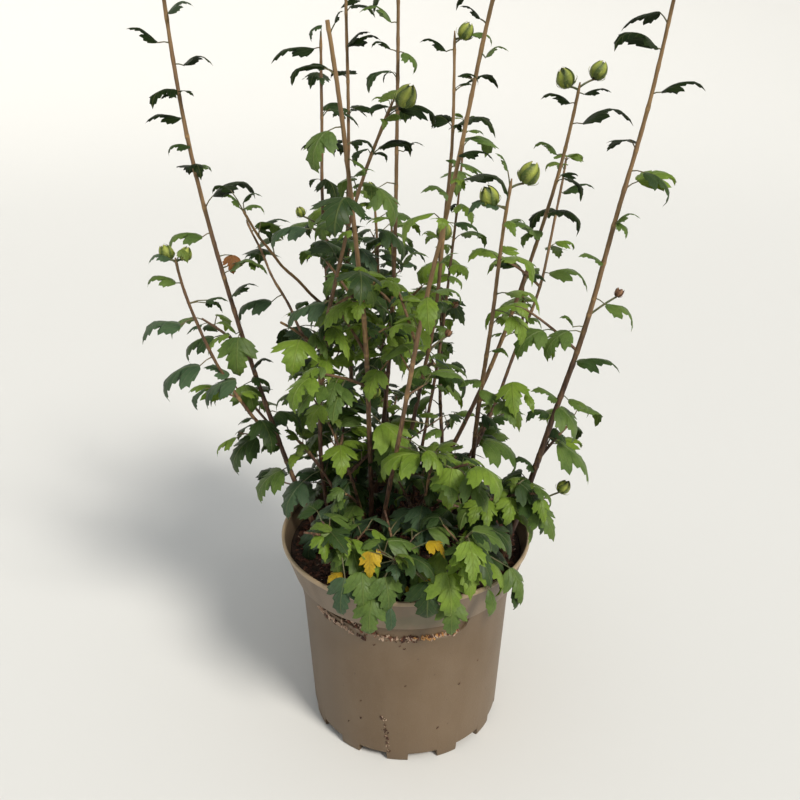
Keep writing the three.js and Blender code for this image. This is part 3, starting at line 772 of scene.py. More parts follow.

# %% [markdown]
# The leaves that are plain to see on the real shrub come first. Each row says where a blade starts, which
# way it points, how steeply it hangs, how long it is and how it looks. A leaf of the rule that would grow
# from the same spot of the limb makes way for it.

# %% Leaves that are plain to see
# the place in mm, the direction and the droop in degrees, the length in mm, the number of the leaf's model
# and the tint, which for most leaves is painted light and shade
SHOWN_LEAVES = {
    "far_left": [
        (-248, 36, 801, -176, -26, 32, 5, "shaded"), (-223, 34, 780, -8, 0, 30, 7, "shaded"),
        (-230, 28, 730, -174, 4, 37, 5, "shaded"), (-223, 25, 702, -170, 16, 24, 1, "deep"),
        (-218, 20, 610, -167, 17, 38, 1, "mid"), (-190, 18, 574, -10, -6, 35, 7, "mid"),
        (-191, 17, 545, -11, -25, 34, 0, "deep"), (-186, 7, 501, -93, 77, 45, 6, "mid"),
        (-191, 19, 500, 180, -34, 25, 3, "mid"), (-173, 13, 461, -10, -20, 26, 7, "shaded"),
        (-175, 11, 450, -16, 32, 25, 1, "deep"), (-148, 3, 411, -19, 39, 39, 7, "deep"),
        (-174, 2, 381, -150, 57, 52, 6, "deep"), (-146, 0, 337, -153, 50, 48, 6, "mid"),
        (-185, 7, 443, -50, 68, 34, 4, "mid"), (-169, 20, 583, -17, 32, 24, 5, "mid"),
        (-149, 8, 363, -158, 6, 22, 1, "deep"), (-159, 10, 385, -163, -25, 22, 5, "bluish"),
        (-235, 37, 827, 0, -18, 27, 6, "bluish"),
    ],
    "left_low": [
        (-228, -68, 585, -172, 2, 28, 1, "mid"), (-201, -63, 563, -14, 29, 19, 7, "shaded"),
        (-230, -62, 539, -165, 23, 43, 7, "bluish"), (-218, -48, 489, -161, 42, 51, 1, "bluish"),
        (-192, -30, 470, 180, -21, 29, 5, "bluish"), (-183, -39, 469, -164, 39, 45, 6, "bluish"),
        (-201, -60, 565, -10, -1, 23, 5, "deep"), (-216, -81, 622, -41, 53, 15, 5, "young"),
        (-229, -75, 611, -175, 12, 22, 7, "bluish"),
    ],
    "left_inner": [
        (-150, 28, 535, -171, 30, 43, 1, "bluish"), (-166, 69, 609, -6, -12, 38, 5, "deep"),
        (-180, 71, 630, -15, 10, 24, 1, "mid"),
    ],
    "left_cross": [
        (-182, 10, 661, -162, 3, 19, 4, "shaded"), (-174, 10, 643, -167, -35, 21, 1, "mid"),
        (-170, 10, 648, -6, -18, 22, 7, "deep"),
    ],
    "left_middle": [
        (-100, -47, 634, -163, 27, 39, 1, "bluish"), (-85, -38, 554, -163, 29, 47, 0, "bluish"),
        (-95, -15, 428, -133, 61, 34, 6, "sunny"), (-122, -4, 323, -137, 58, 49, 0, "bluish"),
        (-105, -20, 267, -118, 67, 41, 1, "bluish"),
    ],
    "back_left": [
        (-103, 150, 792, -173, 15, 52, 5, "shaded"), (-86, 119, 616, -126, 59, 38, 6, "mid"),
        (-94, 148, 816, -161, 55, 21, 7, "deep"), (-152, 117, 471, -31, 71, 36, 5, "shaded"),
    ],
    "back_tall": [
        (-65, 191, 793, -6, -13, 37, 0, "shaded"), (-69, 193, 793, -4, -31, 32, 5, "shaded"),
        (-76, 168, 630, -151, 40, 22, 1, "deep"),
    ],
    "pruned": [
        (-71, -93, 732, -125, 63, 38, 1, "mid"), (-50, -75, 721, -17, 31, 24, 7, "shaded"),
        (-50, -76, 689, -16, -17, 22, 0, "mid"), (-30, -45, 483, -123, 57, 36, 5, "sunny"),
        (-27, -33, 414, -39, 63, 57, 7, "sunny"), (-62, -99, 819, 0, -54, 13, 0, "shaded"),
        (-51, -82, 705, -32, 39, 19, 3, "mid"),
    ],
    "middle_tall": [
        (-16, 94, 819, -173, -16, 35, 7, "mid"), (-17, 92, 793, -163, -9, 21, 1, "shaded"),
        (-3, 90, 790, -29, 59, 24, 4, "mid"), (-31, 38, 658, -39, 62, 46, 6, "mid"),
        (-26, 56, 609, -34, 53, 42, 1, "deep"), (-4, 74, 565, -11, -18, 32, 7, "mid"),
        (-3, 86, 689, -10, -14, 24, 7, "shaded"),
    ],
    "middle_right": [
        (39, 34, 793, -176, -21, 28, 0, "shaded"), (46, 25, 648, -173, -14, 33, 7, "mid"),
        (52, 23, 624, -14, 30, 29, 1, "deep"), (62, 33, 808, -10, 22, 24, 1, "mid"),
        (47, 19, 567, -32, 41, 20, 1, "mid"),
    ],
    "front_tall": [
        (56, -152, 823, 180, -31, 19, 5, "shaded"), (61, -152, 795, -13, -14, 19, 7, "mid"),
        (43, -141, 718, -12, 5, 30, 0, "shaded"), (20, -87, 408, -39, 56, 34, 1, "sunny"),
        (48, -94, 391, -106, 72, 46, 5, "sunny"), (35, -85, 432, -156, 24, 21, 5, "mid"),
        (40, -149, 781, -21, 18, 18, 1, "shaded"), (30, -121, 620, -21, -33, 20, 5, "mid"),
    ],
    "right_short": [
        (84, -88, 664, -168, 12, 30, 7, "bluish"), (91, -90, 697, 180, -54, 20, 5, "mid"),
        (106, -69, 551, -53, 62, 32, 6, "sunny"), (88, -21, 387, -19, 44, 50, 4, "mid"),
        (79, -41, 457, -18, 42, 35, 1, "mid"), (97, -20, 415, -14, 25, 28, 7, "deep"),
        (80, -35, 466, -166, 10, 25, 5, "mid"), (85, -27, 422, -23, 45, 29, 5, "deep"),
    ],
    "right_long": [
        (187, 64, 721, -11, 1, 53, 7, "shaded"), (173, 70, 741, -176, -11, 32, 0, "shaded"),
        (187, 70, 750, -4, -6, 29, 5, "shaded"), (163, 69, 688, -176, -19, 27, 1, "mid"),
        (147, 58, 600, -167, -21, 39, 6, "mid"), (150, 59, 607, -155, 33, 28, 1, "mid"),
        (139, 59, 505, -18, 33, 23, 7, "mid"),
    ],
    "right_back": [
        (184, 128, 636, -3, -11, 37, 0, "deep"), (167, 84, 552, -10, 24, 50, 7, "mid"),
    ],
    "far_right": [
        (229, -33, 798, -169, -2, 41, 4, "shaded"), (238, -34, 760, -15, -6, 40, 0, "shaded"),
        (230, -38, 687, -30, 51, 38, 1, "deep"), (209, -36, 638, -15, -11, 23, 7, "mid"),
        (199, -32, 596, -167, -18, 28, 5, "mid"), (205, -41, 554, -20, 42, 39, 7, "mid"),
        (169, -43, 526, -157, 49, 39, 6, "mid"), (181, -39, 490, -13, 8, 47, 0, "deep"),
        (165, -46, 440, -37, 62, 43, 6, "mid"), (164, -34, 445, -172, -21, 32, 5, "mid"),
        (176, -38, 445, -20, 36, 28, 1, "mid"), (155, -37, 429, -166, 20, 27, 7, "deep"),
        (168, -43, 396, -21, 49, 60, 5, "mid"), (136, -44, 351, -151, 53, 34, 6, "deep"),
        (148, -42, 315, -58, 68, 37, 3, "deep"), (210, -38, 638, -47, 52, 18, 6, "mid"),
        (175, -33, 527, -173, -34, 19, 7, "mid"), (145, -32, 355, -171, -26, 28, 1, "deep"),
    ],
}
# nearer than this to such a leaf's root the rule grows no leaf of its own
SHOWN_REACH = 0.017
# below this height, in mm, a leaf may also grow from a low shoot
SHOWN_LOW = 360
SHOWN_STALK = 0.0016
SHOWN_SPOTS = (0.0, 0.35, 0.7)


def nearest_root(place, names):
    """The place on the named limbs that is nearest to a place."""
    spots = [limbs[name]["path"].at(share / 100) for name in names for share in range(2, 99)]
    return min(spots, key=lambda spot: (spot - place).length)


def hang_leaf(names, x, y, z, degrees, droop, length, model, tint):
    """A leaf at a given place, with a stalk from the nearest of the named limbs. Gives the stalk's root."""
    base = Vector(in_metres((x, y, z)))
    length = length / MM
    turn, fall = math.radians(degrees), math.radians(droop)
    blade = Vector(turned(1, turn)) * math.cos(fall) - UP * math.sin(fall)
    across = blade.cross(UP).normalized()
    leaves.append({"base": base, "ahead": blade, "face": across.cross(blade).normalized(),
                   "size": length / LEAF_CHORD, "model": model, "tint": tint})
    root = nearest_root(base, names)
    stalks.append({"root": root, "end": base, "blade": blade, "thick": SHOWN_STALK})
    for along in SHOWN_SPOTS:
        room.fill(base + blade * (along * length), LEAF_BALL, "leaf")
    return root


for name, rows in SHOWN_LEAVES.items():
    limbs[name]["taken"] = [
        hang_leaf([name] if row[2] > SHOWN_LOW else [name, *LOW_SHOOTS], *row) for row in rows]
print("leaves plain to see:", len(leaves))

# %% [markdown]
# Now the rule runs. A cane's leaves start where its bare part ends, one every few centimetres. Each twig
# looks for a free way out, and the buds stand where the table of limbs has them.

# %% Stems, twigs and buds by the rule
LEAF_TURN = (-0.25, 0.25)
LEAF_LEAN = (0.8, 1.15)
LEAF_SCALE = (0.85, 1.1)
LEAF_DROOP = (-0.2, 0.2)
STEM_START = 0.008
STEM_END = 0.006
TWIG_LENGTH = 0.074
TWIG_THICK = 0.0036
TWIG_THIN = 0.0026
TWIG_SAG = 0.12
TWIG_TRIES = 4
TWIG_FIRST_TURN = 1.1
TWIG_ZONE_LIMIT = 0.85
TWIG_PLACE = (0.3, 0.7)
TWIG_LENGTHS = (0.75, 1.15)
TWIG_SPOTS = (0.3, 0.5, 0.7, 0.85, 1.0)
TWIG_BALL = 0.0015
TWIG_FILL_START = 0.2
TWIG_RISE = (0.5, 0.95)
TWIG_LEAVES = [(0.45, 0.9), (0.72, 1.0), (0.96, 0.35)]
TWIG_MORE_LEAVES = [(0.3, 1.0), (0.58, 0.8), (0.85, 0.9), (0.96, 0.7)]
TWIG_LEAF_SCALE = 0.95
TWIG_LEAF_DROOP = 0.05
BUD_RISE = 0.75
BUD_LIFT = 0.9
BUD_BALL = 0.6
# a bud narrower than this is a dry case
DRY_WIDTH = 0.010
twigs = []
buds = []


def grow_bud(limb, share, degrees, stalk_length, width):
    """A bud on its stalk, from a row of the limb's table."""
    stalk_length, width = in_metres((stalk_length, width))
    root = limb["path"].at(share)
    way = Vector(turned(1, math.radians(degrees), BUD_RISE)).normalized()
    middle = root + way * (stalk_length + width / 2)
    up = (way + UP * BUD_LIFT).normalized()
    buds.append({"root": root, "up": up, "middle": middle, "width": width})
    room.fill(middle, width * BUD_BALL, "bud")
    limb["knots"].append(share)


def grow_stem_leaves(limb, draws, extra):
    path = limb["path"]
    leafy = (1 - limb["bare"]) * path.length - STEM_START - STEM_END
    side = math.radians(limb["side"])
    for i in range(int(leafy / limb["step"]) + 1):
        share = limb["bare"] + (STEM_START + i * limb["step"]) / path.length
        turn = side + i * GOLDEN_ANGLE + draws.between(*LEAF_TURN)
        lean = draws.between(*LEAF_LEAN)
        scale = draws.between(*LEAF_SCALE)
        droop = draws.between(*LEAF_DROOP)
        limb["knots"].append(share)
        grow_leaf(limb, path, share, turn, lean, scale, droop, extra)
        limb["nodes"].append((share, turn))


def grow_twig(limb, share, turn, length, rise):
    root = limb["path"].at(share)
    for attempt in range(TWIG_TRIES):
        way = Vector(turned(1, turn + attempt * GOLDEN_ANGLE, math.tan(rise))).normalized()
        tip = root + way * length - UP * (TWIG_SAG * length)
        path = Path(root, root + way * length / 2, tip, TWIG_THICK, TWIG_THIN)
        if fits([path.at(k) for k in TWIG_SPOTS], limb, TWIG_BALL):
            fill_along(path, limb["name"], TWIG_FILL_START)
            twigs.append(path)
            limb["knots"].append(share)
            return path
    return None


def grow_twigs(limb, draws, extra):
    path = limb["path"]
    leafy = (1 - limb["bare"]) * path.length
    side = math.radians(limb["side"])
    bottom = path.at(limb["bare"]).z
    zone = min(TWIG_ZONE_LIMIT, (limb["twig_top"] - bottom) / leafy)
    for i in range(limb["twigs"]):
        place = zone * (i + draws.between(*TWIG_PLACE)) / limb["twigs"]
        share = lerp(limb["bare"], 1, place)
        length = TWIG_LENGTH * draws.between(*TWIG_LENGTHS)
        rise = draws.between(*TWIG_RISE)
        leaf_turn = 2 * math.pi * draws.one()
        twig = grow_twig(limb, share, side + TWIG_FIRST_TURN + i * GOLDEN_ANGLE, length, rise)
        if twig is None:
            continue
        for k, (leaf_share, lean) in enumerate(TWIG_LEAVES):
            grow_leaf(limb, twig, leaf_share, leaf_turn + k * math.pi, lean, TWIG_LEAF_SCALE,
                      TWIG_LEAF_DROOP, extra)
        limb["leafy_twigs"].append((twig, leaf_turn))


for name, limb in limbs.items():
    draws = Draws(limb["seed"])
    extra = Draws(limb["seed"] * 31 + 5)
    for bud in limb["buds"]:
        grow_bud(limb, *bud)
    grow_stem_leaves(limb, draws, extra)
    grow_twigs(limb, draws, extra)
print("leaves:", len(leaves), "twigs:", len(twigs), "buds:", len(buds))

# %% [markdown]
# ## What the rule leaves to the second pass
# In the angle of a stalk sit up to two small leaves, and a few young ones at each tip. Lower down, short
# spurs carry up to three leaves each. They fill the middle of the shrub, while the tops of the canes stay
# open, with sky between.

# %% Small leaves, spurs and tips
AXIL_CHANCE = 0.85
SECOND_AXIL_CHANCE = 0.5
AXIL_SCALE = (0.36, 0.66)
AXIL_TURN = (0.45, 1.25)
AXIL_LEAN = (0.6, 1.0)
AXIL_DROOP = (-0.35, 0.2)
AXIL_AHEAD = 0.002
AXIL_TRIES = 3
SMALL_TRIES = 4
TWIG_SMALL_SCALE = (0.5, 0.9)
TWIG_SMALL_DROOP = (-0.2, 0.2)
TWIG_SMALL_TURN = 1.5
SPUR_TOP = 0.52
LOWER_SPUR_TOPS = {"right_back": 0.0, "right_long": 0.36, "back_right": 0.38, "back_thin": 0.38,
                   "right_short": 0.34, "far_right": 0.36, "low_back_right": 0.3, "left_inner": 0.0,
                   "middle_right": 0.46, "back_left": 0.42, "left_middle": 0.46, "far_left": 0.4}
THIN_AXILS = ("right_back", "right_long", "back_right", "back_thin", "left_inner", "far_right",
              "left_cross", "low_back_right")
THIN_AXIL_SHARE = 0.45
SPUR_LENGTH = (0.022, 0.05)
SPUR_THICK = 0.0022
SPUR_THIN = 0.0016
SPUR_EVERY = 0.03
SPUR_BALL = 0.002
SPUR_SPOTS = (0.4, 0.7, 1.0)
SPUR_RISE = (0.2, 0.9)
SPUR_FILL_START = 0.3
SPUR_LEAF_SCALE = (0.55, 1.0)
SPUR_LEAF_DROOP = (-0.2, 0.25)
# how far along the spur a leaf sits and how far it leans out
SPUR_LEAVES = [(0.6, 1.0), (0.85, 0.8), (1.0, 0.4)]
SPUR_START = 0.75
SPUR_END = 0.95
SPUR_UNEVEN = (0.7, 1.3)
TIP_LEAVES = 5
TIP_PLACES = (0.985, 0.955)
TIP_TURN = 0.7
TIP_LEAN = 0.75
TIP_SCALE = (0.35, 0.6)
TIP_DROOP = (-0.7, -0.1)


def grow_axils(limb, extra):
    for share, turn in limb["nodes"]:
        few = THIN_AXIL_SHARE if limb["name"] in THIN_AXILS else 1
        count = (extra.one() < AXIL_CHANCE * few) + (extra.one() < SECOND_AXIL_CHANCE * few)
        for side in (-1, 1)[:count]:
            grow_leaf(limb, limb["path"], share + AXIL_AHEAD, turn + side * extra.between(*AXIL_TURN),
                      extra.between(*AXIL_LEAN), extra.between(*AXIL_SCALE), extra.between(*AXIL_DROOP),
                      extra, None, AXIL_TRIES)


def grow_twig_extras(limb, extra):
    for twig, turn in limb["leafy_twigs"]:
        if limb["name"] in THIN_AXILS:
            continue
        for k, (share, lean) in enumerate(TWIG_MORE_LEAVES):
            grow_leaf(limb, twig, share, turn + TWIG_SMALL_TURN + k * GOLDEN_ANGLE, lean,
                      extra.between(*TWIG_SMALL_SCALE), extra.between(*TWIG_SMALL_DROOP),
                      extra, None, SMALL_TRIES)


def grow_spurs(limb, extra):
    path = limb["path"]
    share = limb["bare"] * SPUR_START
    top = LOWER_SPUR_TOPS.get(limb["name"], SPUR_TOP)
    while path.at(share).z < top and share < SPUR_END:
        length = extra.between(*SPUR_LENGTH)
        angle = extra.between(0, 2 * math.pi)
        rise = extra.between(*SPUR_RISE)
        first = extra.between(0, 2 * math.pi)
        sizes = [extra.between(*SPUR_LEAF_SCALE) for _ in SPUR_LEAVES]
        way = Vector(turned(1, angle, math.tan(rise))).normalized()
        root = path.at(share)
        spur = Path(root, root + way * length / 2, root + way * length, SPUR_THICK, SPUR_THIN)
        if fits([spur.at(k) for k in SPUR_SPOTS], limb, SPUR_BALL, (limb["name"],)):
            grown = 0
            for k, (place, lean) in enumerate(SPUR_LEAVES):
                grown += grow_leaf(limb, spur, place, first + k * GOLDEN_ANGLE, lean, sizes[k],
                                   extra.between(*SPUR_LEAF_DROOP), extra, None, SMALL_TRIES)
            if grown:
                twigs.append(spur)
                fill_along(spur, limb["name"], SPUR_FILL_START)
                limb["knots"].append(share)
        share += SPUR_EVERY * extra.between(*SPUR_UNEVEN) / path.length


def grow_tip(limb, extra):
    for k in range(TIP_LEAVES):
        turn = limb["side"] + k * GOLDEN_ANGLE + TIP_TURN
        grow_leaf(limb, limb["path"], TIP_PLACES[k % 2], turn, TIP_LEAN, extra.between(*TIP_SCALE),
                  extra.between(*TIP_DROOP), extra, "young", SMALL_TRIES)


for name, limb in limbs.items():
    extra = Draws(limb["seed"] * 53 + 11)
    grow_twig_extras(limb, extra)
    grow_axils(limb, extra)
    grow_tip(limb, extra)
    grow_spurs(limb, extra)
print("leaves now:", len(leaves), "twigs now:", len(twigs))

# %% [markdown]
# ## Leaves over the rim
# At the front the low shoots let some leaves hang over the rim. Each is given by the place where its blade
# starts, and its stalk comes from the nearest shoot. A few old leaves low down have turned yellow, and one
# dry leaf clings to the cane at the far left.

# %% Hanging and yellow leaves
# the same facts as for the leaves that are plain to see
RIM_LEAVES = [
    (-64.5, -146.4, 289.5, -110, 78, 44, 0, "bluish"), (-46.8, -142.5, 294.3, -85, 70, 40, 7, "mid"),
    (-36.3, -157, 270.5, -100, 80, 40, 1, "mid"), (-17.5, -159, 262, -80, 84, 30, 3, "bluish"),
    (-22.6, -150.3, 293.6, -70, 76, 42, 5, "mid"), (24, -156.2, 291.6, -100, 78, 40, 4, "deep"),
    (41.6, -152.4, 301.4, -80, 66, 48, 6, "sunny"), (47.5, -159, 269, -95, 80, 41, 8, "mid"),
    (87.2, -137, 268, -60, 82, 34, 3, "mid"), (113, -110.5, 276.5, -50, 62, 44, 11, "mid"),
    (116, -118, 256, -55, 80, 28, 3, "deep"),
]
OLD_LEAVES = [
    (-37.3, -140, 317.9, -100, 76, 31, 10, "yellow"), (-31, -136, 319, -60, 66, 16, 3, "yellow"),
    (22, -118, 315, -25, 38, 26, 7, "yellow"), (-70, -120, 278, -150, 24, 20, 5, "yellow"),
    (-8.1, -125, 266, -30, 40, 16, 9, "yellow"), (19.8, -133, 276, 20, 20, 14, 3, "yellow"),
    (-190.2, 30, 587.6, -80, 70, 21, 6, "rusty"),
]

for row in RIM_LEAVES + OLD_LEAVES[:-1]:
    hang_leaf(LOW_SHOOTS, *row)
hang_leaf(["far_left"], *OLD_LEAVES[-1])
print("hanging and old leaves:", len(RIM_LEAVES) + len(OLD_LEAVES))

# %% [markdown]
# ## Trees that run once
# A geometry tree needs a mesh to work on. The helper puts a mesh in the scene, runs the tree on it, keeps the
# result as a plain mesh and takes the rest away. So every piece ends up as real faces in its right place.

# %% Running a geometry tree


def new_geometry_tree(name, inputs):
    """A geometry tree with named inputs. Gives the tree and a wire for each input."""
    group = bpy.data.node_groups.new(name, "GeometryNodeTree")
    group.interface.new_socket("Geometry", in_out="INPUT", socket_type="NodeSocketGeometry")
    group.interface.new_socket("Geometry", in_out="OUTPUT", socket_type="NodeSocketGeometry")
    for label, kind in inputs.items():
        group.interface.new_socket(label, in_out="INPUT", socket_type="NodeSocket" + kind)
    entry = group.nodes.new("NodeGroupInput")
    wires = {label: Wire(group, entry.outputs[label]) for label in ["Geometry", *inputs]}
    return Tree(group), wires


def end_tree(nodes, geometry, finish):
    real = nodes.node("GeometryNodeRealizeInstances", None, {0: geometry})
    dressed = nodes.node("GeometryNodeSetMaterial", None, {"Geometry": real, "Material": finish})
    end = nodes.tree.nodes.new("NodeGroupOutput")
    plug(nodes.tree, dressed, end.inputs[0])


def run_tree(name, mesh, nodes, settings):
    """Runs a geometry tree on a mesh and keeps the result as a plain object."""
    source = link_piece(name + "_source", mesh)
    modifier = source.modifiers.new("grow", "NODES")
    modifier.node_group = nodes.tree
    for item in nodes.tree.interface.items_tree:
        if item.in_out == "INPUT" and item.name in settings:
            modifier[item.identifier] = settings[item.name]
    seen = source.evaluated_get(bpy.context.evaluated_depsgraph_get())
    made = bpy.data.meshes.new_from_object(seen)
    made.name = name
    bpy.data.objects.remove(source)
    return link_piece(name, made)


def triangle_count(piece):
    piece.data.calc_loop_triangles()
    return len(piece.data.loop_triangles)


def hand_in(piece, slot, *nodes):
    """Attaches a finished piece to the root body, hides the solids it stands for and prints its triangles.
    The slot is not used.
    """
    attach(piece, "root")
    if nodes:
        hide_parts(*nodes)
    print(piece.name, "has", triangle_count(piece), "triangles")


all_leaf_nodes = [name for name in frame["nodes"] if name.startswith("leaves_")]
all_cane_nodes = [name for name in frame["nodes"] if name.startswith("cane_")]
print("masses:", len(all_leaf_nodes), "canes:", len(all_cane_nodes))

# %% [markdown]
# ## One leaf
# The leaf has three lobes with broad shoulders and coarse blunt teeth. Half an outline is drawn once, and
# each of its points is joined to its own place on the midrib, so the faces run along the veins. The blade
# then bends over its length, folds a little at the midrib and waves at the edge. Twelve leaves with other
# bends are enough that no two neighbours look alike.

# %% The leaf's outline
# along the leaf, out to its side, and where on the midrib the vein starts
LOBED_HALF = [(0.00, 0.012, 0.00), (-0.02, 0.15, 0.01), (0.05, 0.29, 0.04), (0.15, 0.41, 0.08),
              (0.19, 0.385, 0.11), (0.29, 0.495, 0.15), (0.34, 0.43, 0.18), (0.49, 0.47, 0.22),
              (0.465, 0.345, 0.26), (0.375, 0.205, 0.30), (0.51, 0.265, 0.38), (0.54, 0.195, 0.45),
              (0.69, 0.235, 0.54), (0.715, 0.15, 0.64), (0.86, 0.125, 0.76), (0.885, 0.06, 0.87),
              (1.00, 0.0, 1.00)]
NARROW_HALF = [(0.00, 0.012, 0.00), (0.06, 0.10, 0.04), (0.16, 0.19, 0.10), (0.30, 0.26, 0.19),
               (0.34, 0.235, 0.26), (0.47, 0.28, 0.34), (0.52, 0.23, 0.42), (0.64, 0.235, 0.50),
               (0.68, 0.17, 0.58), (0.80, 0.16, 0.68), (0.84, 0.10, 0.78), (0.93, 0.07, 0.89),
               (1.00, 0.0, 1.00)]
NARROW_KINDS = (3, 9)
LEAF_SEED = 104729
LEAF_ARCH = (20, 62)
LEAF_CURL = (10, 100)
LEAF_FOLD = (-0.9, -0.2)
LEAF_WAVE = (0.02, 0.05)
LEAF_TWIST = (-24, 24)
LEAF_SPREAD = (0.66, 0.96)
LEAF_SKEW = (-0.05, 0.05)
CURL_START = 0.6
WAVE_PITCH = 9
# how far out from the midrib a point lies, and how much it bulges
VEIN_POINTS = ((0.52, 0.012), (1.0, 0.0))


def marked_mesh(name, points, faces, marks):
    """A smooth mesh that keeps two numbers for each point in its UV map."""
    mesh = new_mesh(name, points, faces)
    layer = mesh.uv_layers.new(name="UVMap")
    for loop in mesh.loops:
        layer.data[loop.index].uv = marks[loop.vertex_index]
    mesh.shade_smooth()
    return mesh


def curved_midrib(arch, curl, steps=40):
    """Places and directions down a bent midrib of length 1, in the plane of x and z."""
    x, z = 0.0, 0.0
    row = [(x, z, arch)]
    for i in range(steps):
        share = (i + 0.5) / steps
        heading = arch * (1 - 2 * share) - curl * max(0, share - CURL_START)
        x += math.cos(heading) / steps
        z += math.sin(heading) / steps
        row.append((x, z, heading))
    return row


def leaf_model(index):
    """One bent leaf, as long as its chord says, with its place along and across kept for the veins."""
    draws = Draws(LEAF_SEED * (index + 7))
    half = NARROW_HALF if index in NARROW_KINDS else LOBED_HALF
    arch = math.radians(draws.between(*LEAF_ARCH))
    curl = math.radians(draws.between(*LEAF_CURL))
    fold = draws.between(*LEAF_FOLD)
    wave = draws.between(*LEAF_WAVE)
    phase = draws.between(0, 6.28)
    twist = math.radians(draws.between(*LEAF_TWIST))
    spread = draws.between(*LEAF_SPREAD)
    skew = draws.between(*LEAF_SKEW)
    midrib = curved_midrib(arch, curl)
    steps = len(midrib) - 1

    def on_leaf(along, out):
        """Bends a flat place on the leaf into its curved blade."""
        place = min(max(along, 0), 1) * steps
        low = min(int(place), steps - 1)
        x0, z0, _ = midrib[low]
        x1, z1, _ = midrib[low + 1]
        x = lerp(x0, x1, place - low)
        z = lerp(z0, z1, place - low)
        heading = math.atan2(z1 - z0, x1 - x0)
        side = out * spread * (1 + skew * (1 if out > 0 else -1))
        ripple = wave * math.sin(WAVE_PITCH * along + phase + 2.5 * side)
        lift = fold * abs(side) * (0.4 + abs(side)) + ripple * min(1, 4 * abs(side))
        turn = twist * along
        y = side * math.cos(turn) - lift * math.sin(turn)
        up = side * math.sin(turn) + lift * math.cos(turn)
        return (x - math.sin(heading) * up, y, z + math.cos(heading) * up)

    points, marks, faces = [], [], []
    rows = len(half)
    for along, out, vein in half:
        points.append(on_leaf(vein, 0.0))
        marks.append((0.5, vein))
    for side in (1, -1):
        first = len(points)
        for along, out, vein in half[:-1]:
            for share, bulge in VEIN_POINTS:
                u = lerp(vein, along, share)
                v = side * out * share
                x, y, z = on_leaf(u, v)
                points.append((x, y, z + bulge))
                marks.append((v + 0.5, u))
        for i in range(rows - 2):
            a, b = i, i + 1
            c, d = first + 2 * i, first + 2 * (i + 1)
            quads = [(a, b, d, c), (c, d, d + 1, c + 1)]
            faces += quads if side < 0 else [quad[::-1] for quad in quads]
        last = first + 2 * (rows - 2)
        tip = [(rows - 2, rows - 1, last), (last, rows - 1, last + 1)]
        faces += tip if side < 0 else [face[::-1] for face in tip]
    whole = LEAF_CHORD / math.hypot(midrib[-1][0], midrib[-1][1])
    points = [(x * whole, y * whole, z * whole) for x, y, z in points]
    return marked_mesh("leaf_model_%02d" % index, points, faces, marks)


def model_collection(name, meshes):
    """Puts model meshes in a collection of their own, outside the scene."""
    collection = bpy.data.collections.new(name)
    for mesh in meshes:
        collection.objects.link(bpy.data.objects.new(mesh.name, mesh))
    return collection


leaf_models = model_collection("leaf_models", [leaf_model(i) for i in range(LEAF_KINDS)])

# %% [markdown]
# ## Placing many models
# One tree places every small thing: leaves, buds and crumbs. Each point of a cloud carries the way ahead,
# the way its face looks, its size and the number of its model. The tree turns these into instances and
# then into real faces.

# %% The placing tree
# what a point carries on the middle line of a tube, and where a model stands
TUBE_FACTS = {"thick": "FLOAT", "knot": "FLOAT", "tan": "FLOAT"}
MODEL_FACTS = {"ahead": "FLOAT_VECTOR", "face": "FLOAT_VECTOR", "size": "FLOAT", "model": "INT"}
placing, wires = new_geometry_tree("place_models", {"Models": "Collection", "Finish": "Material"})


def noted(nodes, name):
    """What a point carries under a name."""
    kind = {**MODEL_FACTS, **TUBE_FACTS}[name]
    return nodes.node("GeometryNodeInputNamedAttribute", {"data_type": kind}, {"Name": name})


def all_models(nodes, collection):
    """The models of a collection, one by one, each at the origin."""
    return nodes.node("GeometryNodeCollectionInfo", None,
                      {"Collection": collection, "Separate Children": True, "Reset Children": True})


models = all_models(placing, wires["Models"])
facing = placing.node("FunctionNodeAxesToRotation", {"primary_axis": "X", "secondary_axis": "Z"},
                      {0: noted(placing, "ahead"), 1: noted(placing, "face")})
placed = placing.node("GeometryNodeInstanceOnPoints", None,
                      {"Points": wires["Geometry"], "Instance": models, "Pick Instance": True,
                       "Instance Index": noted(placing, "model"), "Rotation": facing,
                       "Scale": noted(placing, "size")})
end_tree(placing, placed, wires["Finish"])


def noted_points(name, rows, facts, edges=()):
    """A mesh of points. Each row starts with a place, and the rest of it is kept under the facts' names."""
    mesh = new_mesh(name, [row[0] for row in rows], (), edges)
    for column, (label, kind) in enumerate(facts.items(), 1):
        values = [row[column] for row in rows]
        layer = mesh.attributes.new(label, kind, "POINT")
        layer.data.foreach_set("vector" if kind == "FLOAT_VECTOR" else "value", np.ravel(values))
    return mesh


def place_models(name, rows, collection, finish):
    """One piece of many models, from rows of place and MODEL_FACTS."""
    mesh = noted_points(name, rows, MODEL_FACTS)
    return run_tree(name, mesh, placing, {"Models": collection, "Finish": finish})


print("placing tree has", len(placing.tree.nodes), "nodes")
